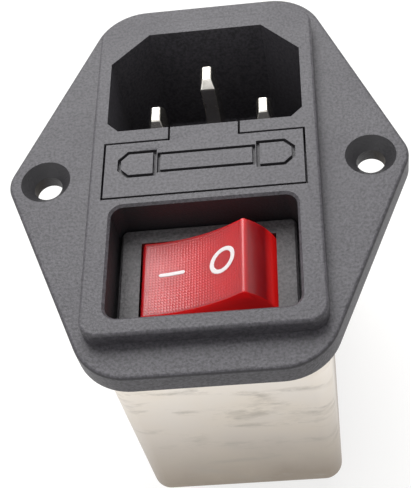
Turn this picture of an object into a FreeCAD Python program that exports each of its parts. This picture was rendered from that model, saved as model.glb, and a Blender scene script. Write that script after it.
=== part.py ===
"""Filtered power entry module with a switch and a fuse drawer.

A moulded front with a screw flange carries a three-pin appliance inlet, a
pull-out fuse drawer and an illuminated rocker switch. A drawn metal can closes
the back round a mains filter.

Frame: millimetres, origin on the back face of the flange, midway between the
two screw holes. +X runs along the screw holes, +Y towards the inlet and +Z out
of the front.
"""
import FreeCAD, Part
import math
import os

import Sketcher
from FreeCAD import Placement, Rotation, Vector

doc = FreeCAD.newDocument("power_entry_module")
sheet = doc.addObject("Spreadsheet::Sheet", "Sizes")


class Size:
    """A length: its value now and the sheet formula that keeps it live."""

    def __init__(self, value, text):
        self.value = value
        self.text = text

    def _join(self, other, sign, swap=False):
        other = size(other)
        first, second = (other, self) if swap else (self, other)
        results = {
            "+": lambda: first.value + second.value,
            "-": lambda: first.value - second.value,
            "*": lambda: first.value * second.value,
            "/": lambda: first.value / second.value,
        }
        return Size(results[sign](), "(%s %s %s)" % (first.text, sign, second.text))

    def __add__(self, other):
        return self._join(other, "+")

    def __radd__(self, other):
        return self._join(other, "+", swap=True)

    def __sub__(self, other):
        return self._join(other, "-")

    def __rsub__(self, other):
        return self._join(other, "-", swap=True)

    def __mul__(self, other):
        return self._join(other, "*")

    def __rmul__(self, other):
        return self._join(other, "*", swap=True)

    def __truediv__(self, other):
        return self._join(other, "/")

    def __neg__(self):
        return Size(-self.value, "(-1 * %s)" % self.text)

    def root(self):
        return Size(math.sqrt(self.value), "sqrt(%s)" % self.text)


def size(amount):
    """Return the amount as a Size, so that plain numbers join in formulas."""
    return amount if isinstance(amount, Size) else Size(float(amount), repr(float(amount)))


def ratio(name, angle):
    """Return the sine, cosine or tangent of an angle held in degrees."""
    angle = size(angle)
    result = getattr(math, name)(math.radians(angle.value))
    return Size(result, "%s(%s * 1deg)" % (name, angle.text))


rows = []


def sized(name, value):
    """Write one driving dimension to the sheet and return it."""
    rows.append(name)
    sheet.set("A%d" % len(rows), name)
    sheet.set("B%d" % len(rows), repr(float(value)))
    sheet.setAlias("B%d" % len(rows), name)
    return Size(float(value), "Sizes." + name)


# Running and seating clearances
slide_gap = sized("slide_gap", 0.10)
seat_gap = sized("seat_gap", 0.02)
hinge_gap = sized("hinge_gap", 0.05)

# Flange: six-sided, with its two points at the screws
flange_thick = sized("flange_thick", 3.0)
flange_end = sized("flange_end", 4.7)
flange_width = sized("flange_width", 49.8)
flange_inset = sized("flange_inset", 0.5)
flange_round = sized("flange_round", 7.0)
flange_tip_round = sized("flange_tip_round", 4.0)
flange_edge_round = sized("flange_edge_round", 0.4)
screw_pitch = sized("screw_pitch", 40.0)
screw_bore = sized("screw_bore", 3.5)
screw_head = sized("screw_head", 6.2)

# Plinth: the raised middle of the flange
plinth_rise = sized("plinth_rise", 2.1)
plinth_side = sized("plinth_side", 0.4)
plinth_end = sized("plinth_end", 0.3)
plinth_round = sized("plinth_round", 2.2)
plinth_edge_round = sized("plinth_edge_round", 0.4)

# Appliance inlet
inlet_inset = sized("inlet_inset", 0.2)
inlet_height = sized("inlet_height", 16.3)
inlet_middle = sized("inlet_middle", 13.45)
inlet_top_chamfer = sized("inlet_top_chamfer", 4.8)
inlet_low_chamfer = sized("inlet_low_chamfer", 1.4)
inlet_depth = sized("inlet_depth", 17.5)
inlet_floor = sized("inlet_floor", 1.6)
inlet_wall = sized("inlet_wall", 0.75)
pin_pitch = sized("pin_pitch", 14.0)
pin_offset = sized("pin_offset", 4.0)
pin_wide = sized("pin_wide", 4.0)
pin_thick = sized("pin_thick", 2.0)
pin_tip_wide = sized("pin_tip_wide", 2.4)
pin_tip_thick = sized("pin_tip_thick", 1.2)
pin_tip_long = sized("pin_tip_long", 1.2)
pin_recess = sized("pin_recess", 4.0)
earth_recess = sized("earth_recess", 1.6)
pin_tail = sized("pin_tail", 3.5)

# Drawer bay and the drawer's front
bay_width = sized("bay_width", 24.7)
bay_top = sized("bay_top", 3.45)
bay_bottom = sized("bay_bottom", -5.25)
bay_depth = sized("bay_depth", 17.7)
bay_floor = sized("bay_floor", 1.3)
bay_ledge = sized("bay_ledge", 0.75)
bay_wall = sized("bay_wall", 1.15)
seam_gap = sized("seam_gap", 0.15)
plate_thick = sized("plate_thick", 2.0)
pull_width = sized("pull_width", 8.9)
pull_deep = sized("pull_deep", 2.6)

# Fuses, 5 by 20 mm, and what holds them
fuse_room = sized("fuse_room", 2.35)
fuse_tube_round = sized("fuse_tube_round", 4.8)
fuse_tube_wall = sized("fuse_tube_wall", 0.6)
fuse_cap_round = sized("fuse_cap_round", 5.2)
fuse_cap_long = sized("fuse_cap_long", 5.0)
fuse_wire_round = sized("fuse_wire_round", 0.3)
fuse_play = sized("fuse_play", 0.1)
drawer_roof = sized("drawer_roof", 1.0)
drawer_divider = sized("drawer_divider", 1.0)
saddle_room = sized("saddle_room", 0.5)
saddle_wrap = sized("saddle_wrap", 1.3)
saddle_wall = sized("saddle_wall", 0.8)
clip_thick = sized("clip_thick", 0.45)
clip_wide = sized("clip_wide", 3.6)
clip_flare = sized("clip_flare", 0.5)
clip_flare_rise = sized("clip_flare_rise", 1.0)
clip_rise = sized("clip_rise", 1.2)
clip_tail_wide = sized("clip_tail_wide", 2.4)
clip_tail_long = sized("clip_tail_long", 5.0)
clip_gap = sized("clip_gap", 0.03)

# Recess in the plinth that holds the switch
recess_inset = sized("recess_inset", 1.35)
recess_top = sized("recess_top", -6.4)
recess_bottom = sized("recess_bottom", -21.75)
recess_round = sized("recess_round", 1.5)
recess_edge = sized("recess_edge", 0.3)
recess_depth = sized("recess_depth", 6.3)
recess_floor = sized("recess_floor", 1.5)

# Switch frame
bezel_gap = sized("bezel_gap", 0.45)
bezel_height = sized("bezel_height", 14.7)
bezel_thick = sized("bezel_thick", 1.8)
bezel_round = sized("bezel_round", 0.8)
bezel_edge = sized("bezel_edge", 0.25)
opening_long = sized("opening_long", 16.2)
opening_wide = sized("opening_wide", 10.6)
opening_taper = sized("opening_taper", 11.0)
case_long = sized("case_long", 18.8)
case_wide = sized("case_wide", 12.6)
case_deep = sized("case_deep", 12.3)
case_wall = sized("case_wall", 0.6)
case_side_wall = sized("case_side_wall", 0.8)
case_hole_gap = sized("case_hole_gap", 0.1)
latch_out = sized("latch_out", 0.6)
latch_long = sized("latch_long", 2.4)
latch_wide = sized("latch_wide", 5.0)
base_thick = sized("base_thick", 1.2)

# Rocker
pivot_drop = sized("pivot_drop", 3.2)
rocker_tilt = sized("rocker_tilt", 17.1)
rocker_radius = sized("rocker_radius", 8.4)
rocker_ridge_x = sized("rocker_ridge_x", 6.42)
rocker_dish_radius = sized("rocker_dish_radius", 21.0)
rocker_wide = sized("rocker_wide", 10.2)
rocker_wall = sized("rocker_wall", 1.0)
rocker_skin = sized("rocker_skin", 1.2)
rocker_roof_drop = sized("rocker_roof_drop", 1.45)
rocker_skirt = sized("rocker_skirt", 0.6)
rocker_keel = sized("rocker_keel", 2.2)
rocker_keel_long = sized("rocker_keel_long", 6.4)
rocker_post_round = sized("rocker_post_round", 4.0)
rocker_post_drop = sized("rocker_post_drop", 4.0)
pivot_round = sized("pivot_round", 2.5)
pivot_out = sized("pivot_out", 1.0)

# Switch works
plunger_round = sized("plunger_round", 2.2)
plunger_long = sized("plunger_long", 4.6)
plunger_gap = sized("plunger_gap", 0.06)
plunger_tip_gap = sized("plunger_tip_gap", 0.14)
plunger_tip_round = sized("plunger_tip_round", 1.2)
plunger_nose_long = sized("plunger_nose_long", 0.6)
bore_top = sized("bore_top", 2.4)
spring_round = sized("spring_round", 2.0)
spring_wire = sized("spring_wire", 0.3)
spring_turns = sized("spring_turns", 4.0)
turn_steps = sized("turn_steps", 9.0)
lever_right = sized("lever_right", 6.6)
lever_left = sized("lever_left", 7.4)
lever_thick = sized("lever_thick", 0.5)
lever_wide = sized("lever_wide", 3.4)
lever_slope = sized("lever_slope", 10.0)
lever_tilt = sized("lever_tilt", 8.0)
fulcrum_rise = sized("fulcrum_rise", 1.10)
knife_round = sized("knife_round", 0.4)
contact_round = sized("contact_round", 2.2)
contact_thick = sized("contact_thick", 0.5)
contact_reach = sized("contact_reach", 6.0)
blade_wide = sized("blade_wide", 4.8)
blade_thick = sized("blade_thick", 0.8)
blade_long = sized("blade_long", 7.0)
blade_pitch = sized("blade_pitch", 7.2)
blade_eye = sized("blade_eye", 1.4)
foot_reach = sized("foot_reach", 4.5)
lamp_round = sized("lamp_round", 3.0)
lamp_long = sized("lamp_long", 6.6)
lamp_nose = sized("lamp_nose", 1.0)
lamp_end_round = sized("lamp_end_round", 1.4)
lamp_x = sized("lamp_x", -5.3)
lamp_drop = sized("lamp_drop", 1.9)
lamp_lead_out = sized("lamp_lead_out", 0.5)
lamp_lead_drop = sized("lamp_lead_drop", 3.0)
lamp_lead_step = sized("lamp_lead_step", 1.5)
ballast_round = sized("ballast_round", 1.6)
ballast_long = sized("ballast_long", 5.0)
ballast_rise = sized("ballast_rise", 2.8)
thin_wire = sized("thin_wire", 0.4)
thin_bend = sized("thin_bend", 0.4)

# Metal can
can_side = sized("can_side", 1.15)
can_height = sized("can_height", 47.4)
can_depth = sized("can_depth", 40.5)
can_wall = sized("can_wall", 0.5)
can_round = sized("can_round", 2.5)
can_end_round = sized("can_end_round", 2.2)
can_floor_edge = sized("can_floor_edge", 1.0)
skirt_gap = sized("skirt_gap", 0.05)
rim_seat = sized("rim_seat", 0.5)
rim_gap = sized("rim_gap", 0.1)
skirt_deep = sized("skirt_deep", 4.0)
skirt_wall = sized("skirt_wall", 0.8)

# Rear terminals
window_side = sized("window_side", 3.0)
window_height = sized("window_height", 8.0)
window_middle = sized("window_middle", -12.0)
insulator_lip = sized("insulator_lip", 0.7)
insulator_thick = sized("insulator_thick", 1.6)
insulator_out = sized("insulator_out", 1.5)
tab_wide = sized("tab_wide", 6.3)
tab_thick = sized("tab_thick", 0.8)
tab_long = sized("tab_long", 8.5)
tab_side = sized("tab_side", 1.35)
tab_nose = sized("tab_nose", 1.2)
tab_eye = sized("tab_eye", 1.6)
tab_tail_wide = sized("tab_tail_wide", 3.0)
tab_tail_proud = sized("tab_tail_proud", 0.6)
earth_tab_y = sized("earth_tab_y", 12.0)
earth_foot = sized("earth_foot", 7.5)
rivet_round = sized("rivet_round", 2.4)
rivet_head_round = sized("rivet_head_round", 4.4)
rivet_head_thick = sized("rivet_head_thick", 0.8)
strap_thick = sized("strap_thick", 0.4)
strap_wide = sized("strap_wide", 4.0)
strap_drop = sized("strap_drop", 6.0)
strap_rise = sized("strap_rise", 0.8)

# Mains filter
board_thick = sized("board_thick", 1.6)
board_stand = sized("board_stand", 5.0)
board_margin = sized("board_margin", 0.3)
choke_y = sized("choke_y", 12.0)
choke_outer = sized("choke_outer", 16.0)
choke_inner = sized("choke_inner", 9.0)
choke_tall = sized("choke_tall", 7.0)
winding_wire = sized("winding_wire", 0.9)
winding_turns = sized("winding_turns", 7.0)
winding_span = sized("winding_span", 130.0)
x_cap_long = sized("x_cap_long", 18.0)
x_cap_wide = sized("x_cap_wide", 7.5)
x_cap_tall = sized("x_cap_tall", 11.5)
x_cap_y = sized("x_cap_y", -2.9)
y_cap_round = sized("y_cap_round", 7.0)
y_cap_thick = sized("y_cap_thick", 3.2)
y_cap_x = sized("y_cap_x", 5.5)
y_cap_y = sized("y_cap_y", -19.0)
y_cap_stand = sized("y_cap_stand", 1.4)
y_cap_pitch = sized("y_cap_pitch", 5.0)
y_cap_wire = sized("y_cap_wire", 0.8)
bleeder_round = sized("bleeder_round", 2.4)
bleeder_long = sized("bleeder_long", 7.0)
bleeder_y = sized("bleeder_y", -8.8)
bleeder_stand = sized("bleeder_stand", 0.5)
bleeder_wire = sized("bleeder_wire", 0.6)
bleeder_lead_out = sized("bleeder_lead_out", 1.6)
lead_wire = sized("lead_wire", 1.2)
lead_bend = sized("lead_bend", 1.6)
lead_drop = sized("lead_drop", 2.0)
lead_clear = sized("lead_clear", 0.85)
wire_sides = sized("wire_sides", 8.0)
bend_share = sized("bend_share", 0.4)

doc.recompute()

# Levels and places worked out from the driving dimensions
can_width = bay_width + can_side * 2
flange_flat = can_width - flange_inset * 2
flange_height = can_height + flange_end * 2
plinth_width = can_width + plinth_side * 2
plinth_height = can_height + plinth_end * 2
inlet_width = bay_width - inlet_inset * 2
recess_width = bay_width - recess_inset * 2
bezel_width = recess_width - bezel_gap * 2
fuse_long = bay_width - fuse_room * 2
saddle_wide = fuse_long - fuse_cap_long * 2 - saddle_room * 2
window_width = can_width - window_side * 2
tab_pitch = window_width - tab_wide - tab_side * 2
front = flange_thick + plinth_rise
inlet_back = front - inlet_depth
inlet_low = inlet_middle - inlet_height / 2
inlet_high = inlet_middle + inlet_height / 2
pin_y = inlet_middle - pin_offset / 2
earth_y = inlet_middle + pin_offset / 2
pin_end = inlet_back - inlet_floor - pin_tail
bay_back = front - bay_depth
shelf = front - plate_thick - seat_gap
bay_inner = bay_width / 2 - bay_ledge
bay_inner_top = bay_top - slide_gap * 2
bay_inner_bottom = bay_bottom + slide_gap * 2
drawer_top = bay_inner_top - slide_gap
drawer_bottom = bay_inner_bottom + slide_gap
drawer_half = bay_inner - slide_gap
spare_y = drawer_top - drawer_roof - fuse_play - fuse_cap_round / 2
active_y = (drawer_top + drawer_bottom) / 2
spare_z = front - plate_thick - fuse_play - fuse_cap_round / 2
divider_front = spare_z - fuse_cap_round / 2 - fuse_play
divider_back = divider_front - drawer_divider
active_z = divider_back - fuse_play - fuse_cap_round / 2
drawer_back = active_z - fuse_cap_round / 2 - drawer_divider
clip_x = fuse_long / 2 - fuse_cap_long / 2
recess_middle = (recess_top + recess_bottom) / 2
recess_back = front - recess_depth
bezel_top = recess_back + bezel_thick
pivot_z = bezel_top - pivot_drop
case_back = recess_back - case_deep
base_top = case_back + base_thick
fulcrum_z = base_top + fulcrum_rise
skirt_half_x = can_width / 2 - can_wall - skirt_gap
skirt_half_y = can_height / 2 - can_wall - skirt_gap
skirt_round = can_round - can_wall
can_back = -can_depth
can_floor = can_back + can_wall
rim_top = rim_seat - seat_gap
insulator_top = can_floor + insulator_thick
board_bottom = can_floor + board_stand
board_top = board_bottom + board_thick
tab_end = can_back - tab_long


def value(amount):
    """Return the plain number of a size or number."""
    return size(amount).value


def bind(item, field, amount):
    """Tie one field of a document object to a size."""
    item.setExpression(field, size(amount).text)


def bind_base(item, x, y, z):
    """Tie an object's position to three sizes."""
    item.Placement.Base = Vector(value(x), value(y), value(z))
    bind(item, "Placement.Base.x", x)
    bind(item, "Placement.Base.y", y)
    bind(item, "Placement.Base.z", z)


# Part Design helpers
def new_body(name):
    """Start a body whose label names its file."""
    body = doc.addObject("PartDesign::Body", name)
    body.Label = name
    return body


def new_sketch(body, name, role, offset=0.0):
    """Start a sketch on one of the body's own origin planes, moved along its normal."""
    sketch = body.newObject("Sketcher::SketchObject", name)
    planes = [item for item in body.Origin.OriginFeatures if item.Role == role]
    sketch.AttachmentSupport = [(planes[0], "")]
    sketch.MapMode = "FlatFace"
    bind(sketch, "AttachmentOffset.Base.z", offset)
    return sketch


def pin_point(sketch, edge, vertex, x, y):
    """Dimension one sketch point from the origin."""
    for kind, amount in (("DistanceX", x), ("DistanceY", y)):
        number = sketch.addConstraint(
            Sketcher.Constraint(kind, -1, 1, edge, vertex, value(amount)))
        bind(sketch, "Constraints[%d]" % number, amount)


def arc_between(start, end, radius, centre_left):
    """Return the arc geometry and the vertex numbers of its start and end."""
    along = end - start
    normal = Vector(-along.y, along.x, 0).normalize() * (1 if centre_left else -1)
    depth = math.sqrt(max(0.0, radius ** 2 - (along.Length / 2) ** 2))
    centre = start + along * 0.5 + normal * depth
    low, high = (start, end) if centre_left else (end, start)
    low_angle = math.atan2(low.y - centre.y, low.x - centre.x)
    high_angle = math.atan2(high.y - centre.y, high.x - centre.x)
    if high_angle < low_angle:
        high_angle += 2 * math.pi
    circle = Part.Circle(centre, Vector(0, 0, 1), radius)
    marks = (1, 2) if centre_left else (2, 1)
    return Part.ArcOfCircle(circle, low_angle, high_angle), marks


def draw_outline(sketch, points, arcs=None):
    """Draw a closed outline through the points.

    arcs gives, for the edge after a point, its radius and whether its centre
    lies to the left of the way along the outline.
    """
    arcs = arcs or {}
    first = sketch.GeometryCount
    places = [Vector(value(x), value(y), 0) for x, y in points]
    marks = []
    for index, start in enumerate(places):
        end = places[(index + 1) % len(places)]
        if index in arcs:
            radius, centre_left = arcs[index]
            edge, mark = arc_between(start, end, value(radius), centre_left)
        else:
            edge, mark = Part.LineSegment(start, end), (1, 2)
        sketch.addGeometry(edge)
        marks.append(mark)
    for index, (x, y) in enumerate(points):
        after = (index + 1) % len(points)
        sketch.addConstraint(Sketcher.Constraint(
            "Coincident", first + index, marks[index][1], first + after, marks[after][0]))
        pin_point(sketch, first + index, marks[index][0], x, y)
    for index, (radius, _) in arcs.items():
        number = sketch.addConstraint(
            Sketcher.Constraint("Radius", first + index, value(radius)))
        bind(sketch, "Constraints[%d]" % number, radius)


def draw_circle(sketch, x, y, radius):
    """Draw a dimensioned circle."""
    place = Vector(value(x), value(y), 0)
    edge = sketch.addGeometry(Part.Circle(place, Vector(0, 0, 1), value(radius)))
    pin_point(sketch, edge, 3, x, y)
    number = sketch.addConstraint(Sketcher.Constraint("Radius", edge, value(radius)))
    bind(sketch, "Constraints[%d]" % number, radius)


def rectangle(x_low, x_high, y_low, y_high):
    """Return the corners of a rectangle, counter-clockwise."""
    return [(x_low, y_low), (x_high, y_low), (x_high, y_high), (x_low, y_high)]


def centred(half_x, half_y, y_middle=0.0):
    """Return a rectangle centred on the Y axis."""
    middle = size(y_middle)
    return rectangle(-size(half_x), half_x, middle - half_y, middle + half_y)


def rounded(half_x, half_y, radius):
    """Return the points and arcs of a rectangle with rounded corners round the origin."""
    in_x, in_y = half_x - radius, half_y - radius
    points = [(-in_x, -half_y), (in_x, -half_y), (half_x, -in_y), (half_x, in_y),
              (in_x, half_y), (-in_x, half_y), (-half_x, in_y), (-half_x, -in_y)]
    return points, {corner: (radius, True) for corner in (1, 3, 5, 7)}


def plane_offset(role, low, high, solid):
    """Return the sketch offset from which a pad or pocket fills low to high.

    The XZ plane faces -Y, so its pads run down in Y and its pockets run up.
    """
    if role == "XZ_Plane":
        return -size(high) if solid else -size(low)
    return size(low) if solid else size(high)


def extrude(body, name, role, low, high, draw, solid=True, taper=None):
    """Pad or pocket what draw() puts in a sketch, between two levels."""
    sketch = new_sketch(body, name + "_sketch", role, plane_offset(role, low, high, solid))
    draw(sketch)
    before = body.Shape.Volume if body.Tip else 0.0
    kind = "PartDesign::Pad" if solid else "PartDesign::Pocket"
    feature = body.newObject(kind, name)
    feature.Profile = sketch
    bind(feature, "Length", size(high) - low)
    if taper is not None:
        bind(feature, "TaperAngle", taper)
    doc.recompute()
    change = body.Shape.Volume - before
    if (change <= 0) if solid else (change >= 0):
        raise RuntimeError("%s changed the volume of %s by %.4f" % (name, body.Label, change))
    return feature


def prism(body, name, role, points, low, high, arcs=None):
    """Pad a straight-sided outline between two levels."""
    return extrude(body, name, role, low, high, lambda s: draw_outline(s, points, arcs))


def cavity(body, name, role, points, low, high, arcs=None, taper=None):
    """Pocket an outline between two levels."""
    return extrude(body, name, role, low, high,
                   lambda s: draw_outline(s, points, arcs), False, taper)


def disc(body, name, role, x, y, radius, low, high):
    """Pad a circle between two levels."""
    return extrude(body, name, role, low, high, lambda s: draw_circle(s, x, y, radius))


def bore(body, name, role, x, y, radius, low, high):
    """Pocket a circle between two levels."""
    return extrude(body, name, role, low, high,
                   lambda s: draw_circle(s, x, y, radius), False)


def matching_edges(shape, test):
    """Return the names of the edges whose middle point passes the test."""
    names = []
    for number, edge in enumerate(shape.Edges, 1):
        low, high = edge.ParameterRange
        if test(edge, edge.valueAt((low + high) / 2)):
            names.append("Edge%d" % number)
    return names


def dress(body, kind, name, field, amount, test):
    """Fillet or chamfer the edges of the body's tip that pass the test."""
    base = body.Tip
    names = matching_edges(base.Shape, test)
    if not names:
        raise RuntimeError("%s found no edges on %s" % (name, body.Label))
    feature = body.newObject("PartDesign::" + kind, name)
    feature.Base = (base, names)
    bind(feature, field, amount)
    doc.recompute()
    return feature


def fillet(body, name, radius, test):
    return dress(body, "Fillet", name, "Radius", radius, test)


def chamfer(body, name, amount, test):
    return dress(body, "Chamfer", name, "Size", amount, test)


def close(first, second):
    return abs(first - second) < 1e-4


def upright(edge):
    """Tell whether an edge is straight and runs along Z."""
    ends = [vertex.Point for vertex in edge.Vertexes]
    return len(ends) == 2 and close(ends[0].x, ends[1].x) and close(ends[0].y, ends[1].y)


def corners_at(half_x, y_low, y_high):
    """Return a test for the upright edges at four corners."""
    def test(edge, middle):
        at_x = close(abs(middle.x), value(half_x))
        at_y = close(middle.y, value(y_low)) or close(middle.y, value(y_high))
        return upright(edge) and at_x and at_y
    return test


def rim_at(z, half_x, y_low, y_high):
    """Return a test for the edges of a level outline that lie on its bounding box."""
    def test(edge, middle):
        level = all(close(vertex.Z, value(z)) for vertex in edge.Vertexes)
        inside_x = abs(middle.x) <= value(half_x) + 1e-4
        inside_y = value(y_low) - 1e-4 <= middle.y <= value(y_high) + 1e-4
        border = (abs(middle.x) > value(half_x) - 1.0
                  or middle.y < value(y_low) + 1.0 or middle.y > value(y_high) - 1.0)
        return level and close(middle.z, value(z)) and inside_x and inside_y and border
    return test


# Part helpers
AXIS_TURNS = {
    "X": (Vector(0, 1, 0), 90),
    "Y": (Vector(1, 0, 0), -90),
    "Z": (Vector(0, 0, 1), 0),
}


def rod(name, axis, radius, length, x, y, z):
    """Make a cylinder that starts at a point and runs along X, Y or Z."""
    item = doc.addObject("Part::Cylinder", name)
    bind(item, "Radius", radius)
    bind(item, "Height", length)
    item.Placement.Rotation = Rotation(*AXIS_TURNS[axis])
    bind_base(item, x, y, z)
    return item


def taper(name, axis, start_radius, end_radius, length, x, y, z):
    """Make a cone that starts at a point and runs along X, Y or Z."""
    item = doc.addObject("Part::Cone", name)
    bind(item, "Radius1", start_radius)
    bind(item, "Radius2", end_radius)
    bind(item, "Height", length)
    item.Placement.Rotation = Rotation(*AXIS_TURNS[axis])
    bind_base(item, x, y, z)
    return item


def cut(name, base, tool):
    item = doc.addObject("Part::Cut", name)
    item.Base = base
    item.Tool = tool
    return item


def fuse(name, parts):
    item = doc.addObject("Part::MultiFuse", name)
    item.Shapes = parts
    item.Refine = True
    return item


def group(name, parts):
    """Keep several separate solids under one name."""
    item = doc.addObject("Part::Compound", name)
    item.Links = parts
    return item


nodes = []


def node(item, label):
    """Give a finished piece the name of its file."""
    item.Label = label
    nodes.append(item)
    return item


def bent_path(points, bend):
    """Return the points of a path whose corners are each cut into two smaller turns."""
    places = [Vector(*[value(part) for part in point]) for point in points]
    path = [places[0]]
    for before, corner, after in zip(places, places[1:], places[2:]):
        back, ahead = before - corner, after - corner
        reach = min(value(bend), value(bend_share) * min(back.Length, ahead.Length))
        path.append(corner + back.normalize() * reach)
        path.append(corner + ahead.normalize() * reach)
    return path + [places[-1]]


def wire_along(label, path, thick):
    """Sweep a many-sided wire along straight runs with mitred turns."""
    heading = (path[1] - path[0]).normalize()
    across = heading.cross(Vector(0.1, 0.2, 1) if abs(heading.z) < 0.9 else Vector(1, 0.2, 0))
    across = across.normalize() * (value(thick) / 2)
    sides = int(value(wire_sides))
    corners = [path[0] + Rotation(heading, 360.0 * index / sides).multVec(across)
               for index in range(sides)]
    section = Part.makePolygon(corners + corners[:1])
    run = Part.makePolygon(path)
    shape = run.makePipeShell([section], True, False, 1)
    if abs(shape.Volume / (run.Length * Part.Face(section).Area) - 1) > 0.02:
        raise RuntimeError("%s has the wrong volume" % label)
    item = doc.addObject("Part::Feature", label)
    item.Shape = shape
    return item


def lead(label, points, thick, bend):
    """Make a wire that bends at each of the points between its ends."""
    return wire_along(label, bent_path(points, bend), thick)


# Front housing: flange, plinth, inlet, drawer bay and switch recess in one moulding
def build_front_housing():
    body = new_body("front_housing")
    half_flat = flange_flat / 2
    half_high = flange_height / 2
    half_wide = flange_width / 2
    flange_points = [
        (-half_flat, -half_high), (half_flat, -half_high), (half_wide, size(0.0)),
        (half_flat, half_high), (-half_flat, half_high), (-half_wide, size(0.0))]
    prism(body, "flange", "XY_Plane", flange_points, size(0.0), flange_thick)
    fillet(body, "flange_corners", flange_round,
           lambda e, m: upright(e) and close(abs(m.y), value(half_high)))
    fillet(body, "flange_tips", flange_tip_round,
           lambda e, m: upright(e) and close(abs(m.x), value(half_wide)))
    fillet(body, "flange_front_edge", flange_edge_round,
           lambda e, m: all(close(v.Z, value(flange_thick)) for v in e.Vertexes))

    prism(body, "plinth", "XY_Plane", centred(plinth_width / 2, plinth_height / 2),
          flange_thick, front)
    fillet(body, "plinth_corners", plinth_round,
           corners_at(plinth_width / 2, -(plinth_height / 2), plinth_height / 2))
    fillet(body, "plinth_front_edge", plinth_edge_round,
           rim_at(front, plinth_width / 2, -(plinth_height / 2), plinth_height / 2))

    prism(body, "skirt", "XY_Plane", centred(skirt_half_x, skirt_half_y),
          -skirt_deep, size(0.0))
    fillet(body, "skirt_corners", skirt_round,
           corners_at(skirt_half_x, -skirt_half_y, skirt_half_y))
    box_half = inlet_width / 2 + inlet_wall
    box_top = inlet_high + inlet_wall
    box_points = [
        (-box_half, inlet_low - inlet_wall), (box_half, inlet_low - inlet_wall),
        (box_half, box_top - inlet_top_chamfer), (box_half - inlet_top_chamfer, box_top),
        (-(box_half - inlet_top_chamfer), box_top), (-box_half, box_top - inlet_top_chamfer)]
    prism(body, "inlet_box", "XY_Plane", box_points, inlet_back - inlet_floor, -skirt_deep)
    prism(body, "bay_box", "XY_Plane",
          rectangle(-(bay_inner + bay_wall), bay_inner + bay_wall,
                    bay_inner_bottom - bay_wall, inlet_low),
          bay_back - bay_floor, -skirt_deep)

    half_inlet = inlet_width / 2
    inlet_points = [
        (-(half_inlet - inlet_low_chamfer), inlet_low),
        (half_inlet - inlet_low_chamfer, inlet_low),
        (half_inlet, inlet_low + inlet_low_chamfer),
        (half_inlet, inlet_high - inlet_top_chamfer),
        (half_inlet - inlet_top_chamfer, inlet_high),
        (-(half_inlet - inlet_top_chamfer), inlet_high),
        (-half_inlet, inlet_high - inlet_top_chamfer),
        (-half_inlet, inlet_low + inlet_low_chamfer)]
    cavity(body, "inlet_cavity", "XY_Plane", inlet_points, inlet_back, front)
    cavity(body, "plate_seat", "XY_Plane",
           rectangle(-(bay_width / 2), bay_width / 2, bay_bottom, bay_top), shelf, front)
    cavity(body, "pull_notch", "XY_Plane",
           rectangle(-(pull_width / 2), pull_width / 2, bay_top - seam_gap,
                     inlet_low + seam_gap),
           front - pull_deep, front)
    cavity(body, "bay_cavity", "XY_Plane",
           rectangle(-bay_inner, bay_inner, bay_inner_bottom, bay_inner_top),
           bay_back, shelf)
    cavity(body, "recess", "XY_Plane",
           rectangle(-(recess_width / 2), recess_width / 2, recess_bottom, recess_top),
           recess_back, front)
    fillet(body, "recess_corners", recess_round,
           corners_at(recess_width / 2, recess_bottom, recess_top))
    chamfer(body, "recess_front_edge", recess_edge,
            rim_at(front, recess_width / 2, recess_bottom, recess_top))
    cavity(body, "back_relief", "XY_Plane",
           rectangle(-(skirt_half_x - skirt_wall), skirt_half_x - skirt_wall,
                     -(skirt_half_y - skirt_wall), bay_inner_bottom - bay_wall),
           -skirt_deep, recess_back - recess_floor)
    cavity(body, "switch_cutout", "XY_Plane",
           centred(case_long / 2 + case_hole_gap, case_wide / 2 + case_hole_gap, recess_middle),
           recess_back - recess_floor, recess_back)
    for name, x, y in (("line", -(pin_pitch / 2), pin_y), ("neutral", pin_pitch / 2, pin_y),
                       ("earth", size(0.0), earth_y)):
        cavity(body, name + "_pin_slot", "XY_Plane",
               rectangle(x - pin_thick / 2 - seat_gap, x + pin_thick / 2 + seat_gap,
                         y - pin_wide / 2 - seat_gap, y + pin_wide / 2 + seat_gap),
               inlet_back - inlet_floor, inlet_back)
    for name, side in (("left", -1.0), ("right", 1.0)):
        middle = clip_x * side
        cavity(body, name + "_clip_slot", "XY_Plane",
               rectangle(middle - clip_tail_wide / 2 - seat_gap,
                         middle + clip_tail_wide / 2 + seat_gap,
                         active_y - clip_thick / 2 - seat_gap,
                         active_y + clip_thick / 2 + seat_gap),
               bay_back - bay_floor, bay_back)
    for name, side in (("left", -1.0), ("right", 1.0)):
        centre_x = screw_pitch / 2 * side
        bore(body, name + "_screw_hole", "XY_Plane", centre_x, size(0.0), screw_bore / 2,
             size(0.0), flange_thick)
    chamfer(body, "screw_countersinks", (screw_head - screw_bore) / 2,
            lambda e, m: close(m.z, value(flange_thick)) and isinstance(e.Curve, Part.Circle)
            and close(e.Curve.Radius, value(screw_bore) / 2))

    def draw_groove(sketch):
        draw_outline(sketch, *rounded(can_width / 2 + rim_gap, can_height / 2 + rim_gap,
                                      can_round + rim_gap))
        draw_outline(sketch, *rounded(skirt_half_x, skirt_half_y, skirt_round))

    extrude(body, "can_groove", "XY_Plane", size(0.0), rim_seat, draw_groove, solid=False)
    node(body, "front_housing")


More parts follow.
